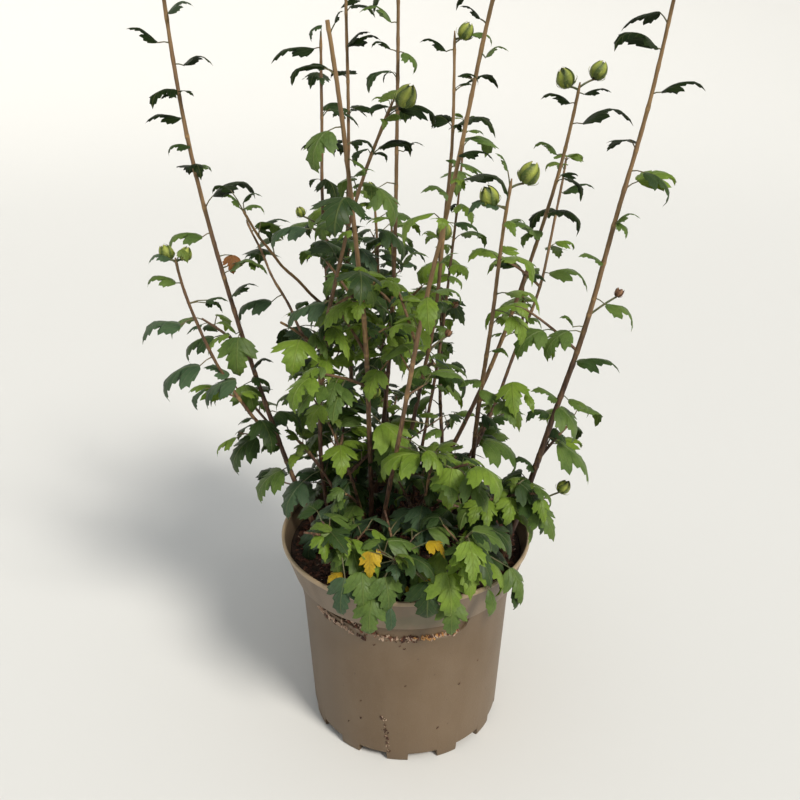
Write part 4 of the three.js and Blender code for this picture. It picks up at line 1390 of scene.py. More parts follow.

# %% [markdown]
# ## The leaf's finish
# A leaf is not one green. Its veins are paler, the blade between them varies, and light from behind turns it
# yellow green. So a Translucent shader is mixed in by a fixed share. Six greens, a yellow and a brown are
# dealt out leaf by leaf. The young green, the yellow and the brown are the leaves' own colours of youth and
# age. The other five greens are one green with painted light and shade, dealt by where a leaf hangs: painted
# light on the sunny side, painted shade at the top, low down and at the back, one of them with a painted blue
# sheen of sky.

# %% Leaf finishes
TRANSLUCENT_SHARE = 0.14
LEAF_SHINE = 0.36
SHADED_SHARE = 0.25
# the first five tints are painted light and shade on one green, from a painted sunlit green down to the
# painted shade of the top leaves, one with a painted blue sky sheen; young, yellow and rusty are the leaves'
# own colours
LEAF_TINTS = {
    "sunny": ((0.100, 0.170, 0.016), (0.172, 0.260, 0.030)),
    "mid": ((0.055, 0.103, 0.018), (0.107, 0.170, 0.033)),
    "deep": ((0.015, 0.037, 0.007), (0.038, 0.073, 0.015)),
    "bluish": ((0.030, 0.064, 0.028), (0.060, 0.106, 0.048)),
    "shaded": ((0.006, 0.014, 0.003), (0.015, 0.028, 0.006)),
    "young": ((0.080, 0.135, 0.018), (0.130, 0.185, 0.030)),
    "yellow": ((0.330, 0.200, 0.010), (0.520, 0.360, 0.018)),
    "rusty": ((0.190, 0.072, 0.020), (0.290, 0.125, 0.040)),
}


def leaf_finish(name, dark, light):
    """A leaf's finish. The tint of painted shade is duller and lets less light through."""
    material, nodes = new_finish("leaf_" + name)
    dull = SHADED_SHARE if name == "shaded" else 1.0
    place = own_place(nodes)
    across, along, _ = nodes.parts(nodes.node("ShaderNodeUVMap", {"uv_map": "UVMap"}))
    out = abs(across - 0.5)
    midrib = out.rise(0.022, 0.006)
    side_vein = abs((along * 5.2 - out * 7.4).fraction() - 0.5).rise(0.075, 0.02) * out.rise(0.46, 0.2)
    veins = midrib.maths("MAXIMUM", midrib, side_vein * 0.7)
    patches = nodes.noise(place, 46.0, 4.0).rise(0.36, 0.66)
    mottle = nodes.noise(place, 420.0, 2.0)
    blade = nodes.mix(patches, rgb(*dark), rgb(*light))
    blade = nodes.mix(mottle.rise(0.35, 0.75) * 0.22, blade, rgb(*[v * 1.5 for v in light]))
    pale = rgb(*[lerp(v, warm, 0.3) for v, warm in zip(light, (0.40, 0.42, 0.14))])
    colour = nodes.mix(veins * 0.4, blade, pale)
    surface = plain_surface(nodes, colour, 0.5, veins * -1.0 + mottle * 0.4, 0.0006, LEAF_SHINE * dull)
    glow = nodes.node("ShaderNodeBsdfTranslucent", None, {"Color": nodes.scaled(colour, (1.5, 1.45, 0.8))})
    both = nodes.node("ShaderNodeMixShader", None, {0: TRANSLUCENT_SHARE * dull, 1: surface, 2: glow})
    close_finish(nodes, both)
    return material


leaf_finishes = {name: leaf_finish(name, *pair) for name, pair in LEAF_TINTS.items()}
print("leaf finishes:", ", ".join(leaf_finishes))

# %% Leaf pieces
for tint, finish in leaf_finishes.items():
    rows = [(leaf["base"], leaf["ahead"], leaf["face"], leaf["size"], leaf["model"])
            for leaf in leaves if leaf["tint"] == tint]
    piece = place_models("leaves_" + tint + "_blades", rows, leaf_models, finish)
    hand_in(piece, "leaf", *all_leaf_nodes)

# %% [markdown]
# ## Canes, twigs and stalks
# A cane is a tube along its path, thicker at every node. The path is a row of points joined by edges, and
# each point carries its radius. The tree turns the edges into curves, sweeps a circle along them, and pushes
# the skin in and out a little for the relief of the bark.

# %% The tube tree
tubes, wires = new_geometry_tree("tubes", {"Sides": "Int", "Relief": "Float", "Grain": "Float",
                                           "Finish": "Material"})
curve = tubes.node("GeometryNodeMeshToCurve", None, {"Mesh": wires["Geometry"]})
ring = tubes.node("GeometryNodeCurvePrimitiveCircle", {"mode": "RADIUS"},
                  {"Resolution": wires["Sides"], "Radius": 1.0})
skin = tubes.node("GeometryNodeCurveToMesh", None,
                  {"Curve": curve, "Profile Curve": ring, "Scale": noted(tubes, "thick"),
                   "Fill Caps": True})
where = tubes.node("GeometryNodeInputPosition")
stretched = tubes.scaled(where, (1.0, 1.0, 0.22))
ripple = tubes.noise(stretched, wires["Grain"], 3.0) - 0.5
push = tubes.node("ShaderNodeVectorMath", {"operation": "SCALE"},
                  {0: tubes.node("GeometryNodeInputNormal"), 3: ripple * wires["Relief"]})
skin = tubes.node("GeometryNodeSetPosition", None, {"Geometry": skin, "Offset": push})
skin = tubes.node("GeometryNodeSetShadeSmooth", None, {"Geometry": skin, "Shade Smooth": True})
end_tree(tubes, skin, wires["Finish"])


def sweep(name, paths, sides, relief, grain, finish):
    """One piece of tubes along many paths, each a list of rows of place and TUBE_FACTS."""
    rows, edges = [], []
    for path in paths:
        edges += [(len(rows) + i, len(rows) + i + 1) for i in range(len(path) - 1)]
        rows += path
    settings = {"Sides": sides, "Relief": relief, "Grain": grain, "Finish": finish}
    return run_tree(name, noted_points(name, rows, TUBE_FACTS, edges), tubes, settings)


print("tube tree has", len(tubes.tree.nodes), "nodes")

# %% [markdown]
# Young bark is tan and smooth, old bark is brown with darker and golden streaks that run up the cane. At each
# node there is a golden scar. The streaks come from noise stretched along Z, since all canes stand up.

# %% Bark finishes
DARK_BARK = rgb(0.055, 0.027, 0.018)
WARM_BARK = rgb(0.138, 0.068, 0.038)
TAN_BARK = rgb(0.275, 0.168, 0.070)
SCAR = rgb(0.430, 0.270, 0.110)


def bark_finish():
    material, nodes = new_finish("bark")
    place = own_place(nodes)
    height = nodes.parts(place)[2]
    streaks = nodes.noise(nodes.scaled(place, (1.0, 1.0, 0.12)), 420.0, 4.0)
    patches = nodes.noise(nodes.scaled(place, (1.0, 1.0, 0.4)), 42.0, 3.0)
    knot = nodes.node("ShaderNodeAttribute", {"attribute_name": "knot"}, output=2)
    tan = nodes.node("ShaderNodeAttribute", {"attribute_name": "tan"}, output=2)
    young = height.rise(0.42, 0.86) * 0.45 + (patches - 0.5) * 0.8 + tan * (height.rise(0.26, 0.62) * 0.55)
    colour = nodes.mix(streaks.rise(0.38, 0.62), DARK_BARK, WARM_BARK)
    colour = nodes.mix(young.rise(0.05, 0.75), colour, TAN_BARK)
    colour = nodes.mix((streaks * 0.6 + patches * 0.5).rise(0.58, 0.66) * 0.5, colour, TAN_BARK)
    colour = nodes.mix(knot.rise(0.4, 1.0) * (patches.rise(0.4, 0.6) * 0.6), colour, SCAR)
    close_finish(nodes, plain_surface(nodes, colour, 0.62, streaks + patches * 0.6, 0.0007))
    return material


def stalk_finish():
    material, nodes = new_finish("green_stalk")
    place = own_place(nodes)
    tone = nodes.noise(place, 60.0, 3.0).rise(0.35, 0.65)
    colour = nodes.mix(tone, rgb(0.075, 0.095, 0.030), rgb(0.150, 0.115, 0.055))
    close_finish(nodes, plain_surface(nodes, colour, 0.5, tone, 0.0002))
    return material


bark = bark_finish()
green_stalk = stalk_finish()
print("bark and stalk finishes are ready")

# %% [markdown]
# All canes make one piece. Each goes a few millimetres down into the compost, and tapers off at its tip,
# except the one that was cut.

# %% Canes
CANE_STEP = 0.0035
CANE_SIDES = 14
BARK_RELIEF = 0.0011
BARK_GRAIN = 260.0
BARK_SLIM = 0.86
NODE_SWELL = 0.16
NODE_REACH = 0.0026
BURIED = 0.006
TIP_TAPER = 0.02
TIP_SHARE = 0.45
# how tan a cane's bark is, from 0 for dark brown to 1
PLAIN_TAN = 0.3
TAN_CANES = {"far_left": 0.1, "back_left": 0.1, "pruned": 0.45, "middle_right": 0.4, "front_tall": 0.7,
             "right_short": 0.7, "right_long": 0.6, "left_cross": 0.7, "left_inner": 0.2, "far_right": 0.4}


def cane_rows(name, limb):
    """The rows of a cane, with a swelling and a scar at each of its nodes."""
    path = limb["path"]
    count = int(path.length / CANE_STEP)
    start = 0.0 if limb["is_branch"] else -BURIED / path.length
    rows = []
    for i in range(count + 1):
        share = lerp(start, 1, i / count)
        swell = max([math.exp(-((share - k) * path.length / NODE_REACH) ** 2) for k in limb["knots"]] or [0])
        radius = path.radius(max(0, share)) * (1 + NODE_SWELL * swell)
        if name != "pruned":
            radius *= lerp(TIP_SHARE, 1, min(1, (1 - share) / TIP_TAPER))
        rows.append((path.at(share), radius * BARK_SLIM, swell, TAN_CANES.get(name, PLAIN_TAN)))
    return rows


cane_paths = [cane_rows(name, limb) for name, limb in limbs.items()]
canes_piece = sweep("canes", cane_paths, CANE_SIDES, BARK_RELIEF, BARK_GRAIN, bark)
hand_in(canes_piece, "cane", *all_cane_nodes)

# %% [markdown]
# Twigs are thinner tubes with the same bark, and each leaf's stalk is a thin green tube that arches a little.

# %% Twigs and stalks
TWIG_TAN = 0.4
TWIG_RELIEF = 0.0006
TWIG_GRAIN = 400.0
BUD_STALK_THICK = 0.0026
BUD_STALK_THIN = 0.0022
BUD_STALK_ARCH = 0.002
# how far below its middle a bud meets its stalk, as a share of its width
BUD_FOOT = 0.56
STALK_ARCH = 0.07
STALK_INTO_BLADE = 0.03
STALK_SLIM = 0.43


def path_rows(path, steps):
    rows = []
    for i in range(steps + 1):
        share = i / steps
        rows.append((path.at(share), path.radius(share), 1.0 if i == 0 else 0.0, TWIG_TAN))
    return rows


def stalk_rows(stalk):
    """A leaf stalk leaves its stem, arches a little and meets the blade in line with it."""
    root, end = stalk["root"], stalk["end"]
    reach = (end - root).length
    middle = (root + end) / 2 + UP * (STALK_ARCH * reach)
    thick = stalk["thick"] * STALK_SLIM
    ahead = end + stalk["blade"] * (STALK_INTO_BLADE * reach)
    return [(root, thick * 1.5, 0, 0), (root.lerp(middle, 0.5), thick, 0, 0), (middle, thick * 0.9, 0, 0),
            (end, thick * 0.9, 0, 0), (ahead, thick * 0.6, 0, 0)]


twig_paths = [path_rows(path, 7) for path in twigs]
twigs_piece = sweep("twigs", twig_paths, 8, TWIG_RELIEF, TWIG_GRAIN, bark)
hand_in(twigs_piece, "cane", *all_leaf_nodes)

bud_stalks = []
for bud in buds:
    end = bud["middle"] - bud["up"] * bud["width"] * BUD_FOOT
    knee = bud["root"].lerp(end, 0.5) + UP * BUD_STALK_ARCH
    stalk = Path(bud["root"], knee, end, BUD_STALK_THICK, BUD_STALK_THIN)
    bud_stalks.append(path_rows(stalk, 5))
stalk_paths = [stalk_rows(stalk) for stalk in stalks] + bud_stalks
stalks_piece = sweep("leaf_stalks", stalk_paths, 5, 0.0, BARK_GRAIN, green_stalk)
hand_in(stalks_piece, "leaf", *all_leaf_nodes)

# %% [markdown]
# ## Buds and dry seed cases
# A closed bud is an urn of five pointed green lobes that wrap round each other, each tucked under the next,
# and narrow bracts hold it from below. The small brown ones are last year's dry cases, open at the top.

# %% Bud models
BUD_LOBES = 5
BUD_FULL = 0.92
BUD_HEIGHT = 1.16
LOBE_ROWS = 9
LOBE_COLUMNS = 6
CORE_ROWS = 7
CORE_COLUMNS = 12
BRACTS = 7
BRACT_ROWS = 5
BUD_MODELS = 4
DRY_MODELS = 3
CORE_WIDTH = 0.86
LOBE_WIDTH = 0.92


def urn_radius(share, dry):
    """How wide a bud is at a share of its height: round below, drawn in above."""
    body = math.sin(math.pi * min(1, 0.08 + (0.84 if dry else 0.90) * share) ** 0.86) ** 0.62
    return 0.5 * body * (lerp(1, 1.25, share ** 2) if dry else 1.0)


def round_place(share, radius, angle):
    """A place on a bud: up its axis by a share of its height, and out round it."""
    return ((share - 0.5) * BUD_HEIGHT, radius * math.cos(angle), radius * math.sin(angle))


def bud_model(index, dry):
    """A bud or an open dry case: a core, five lobes round it and bracts below."""
    draws = Draws(4000 + index * 13)
    points, faces, marks = [], [], []

    def grid(rows, columns, first):
        for i in range(rows):
            for k in range(columns):
                a = first + i * (columns + 1) + k
                faces.append((a, a + columns + 1, a + columns + 2, a + 1))

    for i in range(CORE_ROWS + 1):
        share = lerp(0.02, 0.6 if dry else 0.9, i / CORE_ROWS)
        for k in range(CORE_COLUMNS + 1):
            radius = CORE_WIDTH * urn_radius(share, dry) * (0.02 if i in (0, CORE_ROWS) else 1)
            points.append(round_place(share, radius, -2 * math.pi * k / CORE_COLUMNS))
            marks.append((0.0, share))
    grid(CORE_ROWS, CORE_COLUMNS, 0)
    for lobe in range(BUD_LOBES):
        middle = 2 * math.pi * lobe / BUD_LOBES + draws.between(-0.08, 0.08)
        tall = draws.between(0.94, 1.02)
        flare = draws.between(0.10, 0.34) if dry else draws.between(-0.05, 0.05)
        twist = draws.between(0.1, 0.5)
        first = len(points)
        for i in range(LOBE_ROWS + 1):
            share = i / LOBE_ROWS
            half_width = LOBE_WIDTH * (1 - share ** 3.8) + 0.02
            for k in range(LOBE_COLUMNS + 1):
                across = 2 * k / LOBE_COLUMNS - 1
                ridge = 0.045 * (1 - abs(across)) ** 2 + 0.05 * across
                radius = urn_radius(share * tall, dry) * (1 + ridge) + flare * share ** 5 + 0.004
                angle = middle - across * half_width + twist * share
                points.append(round_place(share * tall, radius, angle))
                marks.append((1 - abs(across), share))
        grid(LOBE_ROWS, LOBE_COLUMNS, first)
    for b in range(BRACTS):
        angle = 2 * math.pi * b / BRACTS + draws.between(-0.2, 0.2)
        reach = draws.between(0.35, 0.62)
        stand = draws.between(0.04, 0.2)
        first = len(points)
        for i in range(BRACT_ROWS + 1):
            share = i / BRACT_ROWS
            out = 0.14 + 0.42 * math.sin(math.pi * min(1, 0.62 * share + 0.08)) + stand * share ** 2
            width = 0.085 * math.sin(math.pi * min(1, 0.25 + 0.75 * share))
            for side in (1, 0, -1):
                turn = angle + side * width / max(out, 0.2)
                points.append(round_place(reach * share / BUD_HEIGHT - 0.03, out - 0.015 * abs(side), turn))
                marks.append((0.6, share))
        grid(BRACT_ROWS, 2, first)
    return marked_mesh(("dry_case_model_%02d" if dry else "bud_model_%02d") % index, points, faces, marks)


def bud_finish(name, dark, light, tip):
    material, nodes = new_finish(name)
    place = own_place(nodes)
    inside, along, _ = nodes.parts(nodes.node("ShaderNodeUVMap", {"uv_map": "UVMap"}))
    tone = nodes.noise(place, 130.0, 3.0)
    fine = nodes.noise(place, 700.0, 3.0)
    colour = nodes.mix((inside * 0.7 + along * 0.5 + tone * 0.7).rise(0.75, 1.45), dark, light)
    colour = nodes.mix(fine.rise(0.5, 0.8) * 0.35, colour, tip)
    colour = nodes.mix(along.rise(0.86, 1.0) * 0.7, colour, tip)
    # painted shade: the core and the edges of the lobes are darker, as shade in the slits between the lobes
    colour = nodes.mix(inside.rise(0.2, 0.0) * 0.5, colour, rgb(*[v * 0.7 for v in dark[:3]]))
    close_finish(nodes, plain_surface(nodes, colour, 0.52, fine + tone, 0.0008))
    return material


green_bud = bud_finish("green_bud", rgb(0.060, 0.100, 0.012), rgb(0.350, 0.400, 0.055), rgb(0.42, 0.35, 0.11))
dry_case = bud_finish("dry_case", rgb(0.120, 0.050, 0.025), rgb(0.290, 0.145, 0.070), rgb(0.45, 0.30, 0.17))
bud_models = model_collection("bud_models", [bud_model(i, False) for i in range(BUD_MODELS)])
dry_models = model_collection("dry_models", [bud_model(i, True) for i in range(DRY_MODELS)])


def bud_rows(dry, kinds):
    rows = []
    for i, bud in enumerate(buds):
        if (bud["width"] < DRY_WIDTH) == dry:
            face = bud["up"].cross(Vector((math.cos(i), math.sin(i), 0.2))).normalized()
            rows.append((bud["middle"], bud["up"], face, bud["width"] * BUD_FULL, i % kinds))
    return rows


buds_piece = place_models("flower_buds", bud_rows(False, BUD_MODELS), bud_models, green_bud)
hand_in(buds_piece, "leaf", *all_leaf_nodes)
cases_piece = place_models("dry_seed_cases", bud_rows(True, DRY_MODELS), dry_models, dry_case)
hand_in(cases_piece, "cane", *all_leaf_nodes)

# %% [markdown]
# ## The pot
# The pot is one moulded shell. Its outline is turned about the upright axis, but the feet and the finger
# grips break the round. So the shell is a fine grid: a row of outline points at each of many angles, where
# a point may move in or up at some angles. Two columns close together make a clean edge.

# %% The pot's grid
FOOT_HEIGHT = 0.006
FOOT_RING = 0.012
GAP_HEIGHT = 0.0105
FOOT_BEVEL = 0.003
FOOT_COUNT = 12
FOOT_WIDTH = 0.026
FOOT_TURN = math.radians(-65)
PAD_RADIUS = 0.020
FLOOR_THICKNESS = 0.003
LIP_DEPTH = 0.005
LIP_OUT = 0.0015
LIP_THICKNESS = 0.0035
LEDGE_DEPTH = 0.0035
LEDGE_SLOPE = 0.001
GRIP_WALL_HEIGHT = COLLAR_HEIGHT - LEDGE_SLOPE - WAIST_HEIGHT
GRIP_RAMP = 0.004
GRIP_TOP = 0.2125
GRIP_BOTTOM = 0.1915
GRIP_FLOOR_RADIUS = 0.1275
GRIP_FLAT_END = math.radians(24)
GRIP_END = math.radians(33)
GRIP_SLANT_START = math.radians(8)
GRIP_SLANT_END = math.radians(47)
THICK_WALL_RADIUS = 0.1235
THICK_WALL = (0.186, 0.212)
POT_COLUMNS = 240
EDGE_ANGLE = 0.0028
DRAIN_RADIUS = 0.006
DRAIN_RING = 0.072
DRAIN_COUNT = 4
DRAIN_SIDES = 24
DRILL_PAST = 0.002
SHARP_EDGE = math.radians(32)


def is_over_gap(angle):
    """Whether the foot ring is open below at this angle."""
    pitch = 2 * math.pi / FOOT_COUNT
    from_foot = abs((angle - FOOT_TURN + pitch / 2) % pitch - pitch / 2) * FOOT_RADIUS
    return from_foot > FOOT_WIDTH / 2


def grip_bottom(angle):
    """The height of a grip's lower edge. It slants up at one end and rounds off at the other."""
    from_grip = min(((angle - middle + math.pi) % (2 * math.pi) - math.pi
                     for middle in (-math.pi / 2, math.pi / 2)), key=abs)
    if from_grip > 0:
        share = max(0, from_grip - GRIP_FLAT_END) / (GRIP_END - GRIP_FLAT_END)
        lift = 1 - math.sqrt(max(0, 1 - min(1, share) ** 2))
    else:
        share = max(0, -from_grip - GRIP_SLANT_START) / (GRIP_SLANT_END - GRIP_SLANT_START)
        lift = min(1, share)
    return lerp(GRIP_BOTTOM, GRIP_TOP, lift)


def pot_column(angle):
    """The outline at one angle: (radius, height) from the middle of the underside to the middle inside."""
    up = FOOT_HEIGHT * 0.93 if is_over_gap(angle) else 0.0
    skirt = GAP_HEIGHT if is_over_gap(angle) else 0.0
    edge = grip_bottom(angle)
    deep = min(1, (GRIP_TOP - edge) / GRIP_RAMP)
    lip_bottom = POT_HEIGHT - LIP_DEPTH
    ledge_low = COLLAR_RADIUS - LEDGE_DEPTH

    def wall(height):
        return lerp(WAIST_RADIUS, ledge_low, (height - WAIST_HEIGHT) / GRIP_WALL_HEIGHT)

    def pressed(share, depth):
        """A point of the grip: a share of the way up from its lower edge, and how deep it is pressed."""
        height = lerp(edge, GRIP_TOP, share)
        return (lerp(wall(height), min(wall(height), GRIP_FLOOR_RADIUS), deep * depth), height)

    inner_foot = FOOT_RADIUS - FOOT_RING
    collar_top, collar_edge = lip_bottom - LEDGE_SLOPE, RIM_RADIUS - LIP_OUT
    lip_inside = RIM_RADIUS - LIP_THICKNESS
    floor_top = FOOT_HEIGHT + FLOOR_THICKNESS
    return [
        # the pad in the middle of the underside and the hollow round it
        (0.0012, 0.0), (PAD_RADIUS - 0.0008, 0.0), (PAD_RADIUS, 0.0008), (PAD_RADIUS, FOOT_HEIGHT),
        *((lerp(PAD_RADIUS, inner_foot, k / 4), FOOT_HEIGHT) for k in (1, 2, 3)),
        # a foot, or a gap between two
        (inner_foot, FOOT_HEIGHT), (inner_foot, up + 0.0003), (inner_foot + 0.001, up),
        (FOOT_RADIUS - FOOT_BEVEL, max(up, skirt)), (FOOT_RADIUS - 0.0009, skirt + 0.0010),
        (FOOT_RADIUS, max(skirt, FOOT_BEVEL) + 0.0015),
        # the wall up to the grip
        *((lerp(FOOT_RADIUS, WAIST_RADIUS, k / 12), lerp(FOOT_BEVEL, WAIST_HEIGHT, k / 12))
          for k in range(1, 12)),
        (WAIST_RADIUS - 0.0003, WAIST_HEIGHT - 0.006), (wall(0.184), 0.184),
        # the grip
        (wall(edge - 0.0007), edge - 0.0007), pressed(0.0, 0.3), pressed(0.06, 1.0),
        *(pressed(share, 1.0) for share in (0.25, 0.5, 0.75, 0.93, 0.98)),
        (lerp(ledge_low + 0.0004, ledge_low - 0.002, deep), GRIP_TOP - 0.0001),
        # the collar
        (COLLAR_RADIUS - 0.0012, COLLAR_HEIGHT - 0.0003), (COLLAR_RADIUS - 0.0002, COLLAR_HEIGHT + 0.0004),
        *((lerp(COLLAR_RADIUS, collar_edge, k / 7), lerp(COLLAR_HEIGHT, collar_top, k / 7))
          for k in range(1, 7)),
        # the lip
        (collar_edge, collar_top), (RIM_RADIUS - 0.0005, lip_bottom - 0.0002),
        (RIM_RADIUS, lip_bottom + 0.0006), (RIM_RADIUS, POT_HEIGHT - 0.0013),
        (RIM_RADIUS - 0.0005, POT_HEIGHT - 0.0003), (RIM_RADIUS - 0.0014, POT_HEIGHT),
        (lip_inside + 0.001, POT_HEIGHT), (lip_inside, POT_HEIGHT - 0.001),
        # down the inside and in to the middle of the floor
        (collar_edge - POT_WALL, collar_top), (COLLAR_RADIUS - POT_WALL, COLLAR_HEIGHT + POT_WALL),
        (THICK_WALL_RADIUS, THICK_WALL[1]), (THICK_WALL_RADIUS, THICK_WALL[0]),
        (WAIST_RADIUS - 2 * POT_WALL, WAIST_HEIGHT), (FOOT_RADIUS - POT_WALL, floor_top),
        (0.09, floor_top), (0.05, floor_top), (0.0012, floor_top),
    ]


def pot_angles():
    """Even angles, with a pair close together on either side of each sharp edge."""
    angles = [2 * math.pi * k / POT_COLUMNS for k in range(POT_COLUMNS)]
    edges = []
    for k in range(FOOT_COUNT):
        middle = FOOT_TURN + 2 * math.pi * k / FOOT_COUNT
        edges += [middle - FOOT_WIDTH / 2 / FOOT_RADIUS, middle + FOOT_WIDTH / 2 / FOOT_RADIUS]
    edges = [edge % (2 * math.pi) for edge in edges]
    angles = [a for a in angles if all(abs(a - edge) > 2 * EDGE_ANGLE for edge in edges)]
    return sorted(angles + [edge + side * EDGE_ANGLE for edge in edges for side in (-1, 1)])


def pot_mesh():
    angles = pot_angles()
    columns = [pot_column(angle) for angle in angles]
    rows = len(columns[0])
    points, faces = [], []
    for angle, column in zip(angles, columns):
        points += [turned(radius, angle, height) for radius, height in column]
    for k in range(len(angles)):
        here, there = k * rows, (k + 1) % len(angles) * rows
        faces += [(here + i, there + i, there + i + 1, here + i + 1) for i in range(rows - 1)]
    for row, order in ((0, -1), (rows - 1, 1)):
        faces.append([k * rows + row for k in range(len(angles))][::order])
    return new_mesh("nursery_pot", points, faces)


def drilled(piece):
    """Cuts the drain holes through the floor."""
    points, faces = [], []
    sides = DRAIN_SIDES
    for k in range(DRAIN_COUNT):
        x, y, _ = turned(DRAIN_RING, 2 * math.pi * k / DRAIN_COUNT)
        first = len(points)
        for height in (FOOT_HEIGHT - DRILL_PAST, FOOT_HEIGHT + FLOOR_THICKNESS + DRILL_PAST):
            for i in range(sides):
                out_x, out_y, _ = turned(DRAIN_RADIUS, 2 * math.pi * i / sides)
                points.append((x + out_x, y + out_y, height))
        for i in range(sides):
            here, after = first + i, first + (i + 1) % sides
            faces.append((here, after, after + sides, here + sides))
        faces.append([first + i for i in range(sides)][::-1])
        faces.append([first + sides + i for i in range(sides)])
    drill = link_piece("drill", new_mesh("drill", points, faces))
    cut = piece.modifiers.new("drain_holes", "BOOLEAN")
    cut.object = drill
    cut.solver = "EXACT"
    seen = piece.evaluated_get(bpy.context.evaluated_depsgraph_get())
    made = bpy.data.meshes.new_from_object(seen)
    piece.modifiers.clear()
    piece.data = made
    bpy.data.objects.remove(drill)


pot = link_piece("nursery_pot", pot_mesh())
drilled(pot)
pot.data.shade_smooth()
pot.data.set_sharp_from_angle(angle=SHARP_EDGE)
print("pot:", len(pot.data.polygons), "faces")

# %% [markdown]
# The plastic is a taupe brown with a dull film of dust. Its lip is paler, from dust and a painted highlight
# along its top, and the collar has patches of painted light, as lit from above. Splashes of compost darken it
# in spots, its left side is darkened by painted shade, and a green stain sits on the collar. All of it is
# noise, masked by place.

# %% The pot's finish
STAIN_MIDDLE = (0.012, -0.139, 0.228)
STAIN_REACH = (0.046, 0.05, 0.017)


def pot_finish():
    material, nodes = new_finish("pot_plastic")
    place = own_place(nodes)
    sideways, _, height = nodes.parts(place)
    cloud = nodes.noise(place, 9.0, 4.0)
    smear = nodes.noise(nodes.scaled(place, (1.0, 1.0, 0.35)), 34.0, 5.0)
    grit = nodes.noise(place, 900.0, 2.0)
    specks = nodes.noise(place, 260.0, 2.0)
    colour = nodes.mix(cloud.rise(0.35, 0.65), rgb(0.126, 0.080, 0.040), rgb(0.158, 0.106, 0.060))
    colour = nodes.mix(smear.rise(0.45, 0.75) * 0.22, colour, rgb(0.21, 0.155, 0.105))
    colour = nodes.mix(grit.rise(0.5, 0.8) * 0.2, colour, rgb(0.25, 0.19, 0.13))
    dirt = (height.rise(0.17, 0.245) * 0.22 + height.rise(0.05, 0.0) * 0.16 + smear * 0.5).rise(0.34, 0.62)
    colour = nodes.mix(dirt * 0.4, colour, rgb(0.075, 0.048, 0.026))
    colour = nodes.mix(specks.rise(0.72, 0.76) * 0.6, colour, rgb(0.055, 0.033, 0.020))
    # painted shade: the left side of the pot is darker, in cloudy patches
    left = sideways.rise(-0.055, -0.125)
    colour = nodes.mix(left * (cloud.rise(0.2, 0.6) * 0.6), colour, rgb(0.070, 0.042, 0.015))
    # painted light: the collar above the ledge is lighter in smeared patches, as lit from above
    collar = height.rise(COLLAR_HEIGHT - 0.0002, COLLAR_HEIGHT + 0.0004)
    colour = nodes.mix(collar * (smear.rise(0.25, 0.6) * 0.55), colour, rgb(0.235, 0.175, 0.120))
    offset = nodes.node("ShaderNodeVectorMath", {"operation": "SUBTRACT"}, {0: place, 1: STAIN_MIDDLE})
    offset = nodes.scaled(offset, tuple(1 / reach for reach in STAIN_REACH))
    distance = nodes.node("ShaderNodeVectorMath", {"operation": "LENGTH"}, {0: offset}, 1)
    stain = (distance + (nodes.noise(place, 120.0, 4.0) - 0.5) * 1.4).rise(1.0, 0.45)
    colour = nodes.mix(stain * 0.5, colour, rgb(0.115, 0.118, 0.062))
    # the lip is paler from dust and from a painted highlight along its top
    lip = height.rise(0.2542, 0.2556)
    colour = nodes.mix(lip * 0.8, colour, rgb(0.40, 0.300, 0.185))
    relief = grit * 0.5 + smear + specks.rise(0.72, 0.76) * 0.6
    close_finish(nodes, plain_surface(nodes, colour, 0.5, relief, 0.0004))
    return material


pot.data.materials.clear()
pot.data.materials.append(pot_finish())
hand_in(pot, "pot", "pot")

# %% [markdown]
# ## Compost
# The compost is a closed lumpy disc just under the rim. Thousands of bark chips lie on it. They are small
# flat splinters in six shapes, scattered over the top by Geometry Nodes.

# %% The compost's bed
SOIL_RINGS = 46
SOIL_SECTORS = 120
SOIL_EDGE = 0.1400
SOIL_LUMP = 0.0032
SOIL_BOTTOM = 0.0093
BED_GRAIN = 320.0
CHIP_GRAIN = 210.0
CHIP_TONES = {
    "dark": ((0.035, 0.015, 0.010), (0.110, 0.045, 0.026)),
    "red": ((0.110, 0.040, 0.022), (0.230, 0.095, 0.055)),
    "pale": ((0.300, 0.190, 0.130), (0.560, 0.420, 0.310)),
    "orange": ((0.360, 0.160, 0.050), (0.580, 0.330, 0.120)),
}
# radius and height of the bed's side, from the top down, a little inside the pot's wall
SOIL_SIDE = [(COLLAR_RADIUS - 0.0032, 0.2162), (THICK_WALL_RADIUS - 0.0007, 0.2127),
             (THICK_WALL_RADIUS - 0.0007, 0.186), (WAIST_RADIUS - 0.0057, WAIST_HEIGHT),
             (0.1158, SOIL_BOTTOM)]


def soil_top(x, y):
    radius = math.hypot(x, y)
    lump = lumps.noise(Vector((x * 38, y * 38, 0.3))) + 0.5 * lumps.noise(Vector((x * 120, y * 120, 4.1)))
    fade = min(1, max(0, (SOIL_EDGE - radius) / 0.006))
    return SOIL_HEIGHT - 0.0015 + SOIL_LUMP * lump * fade


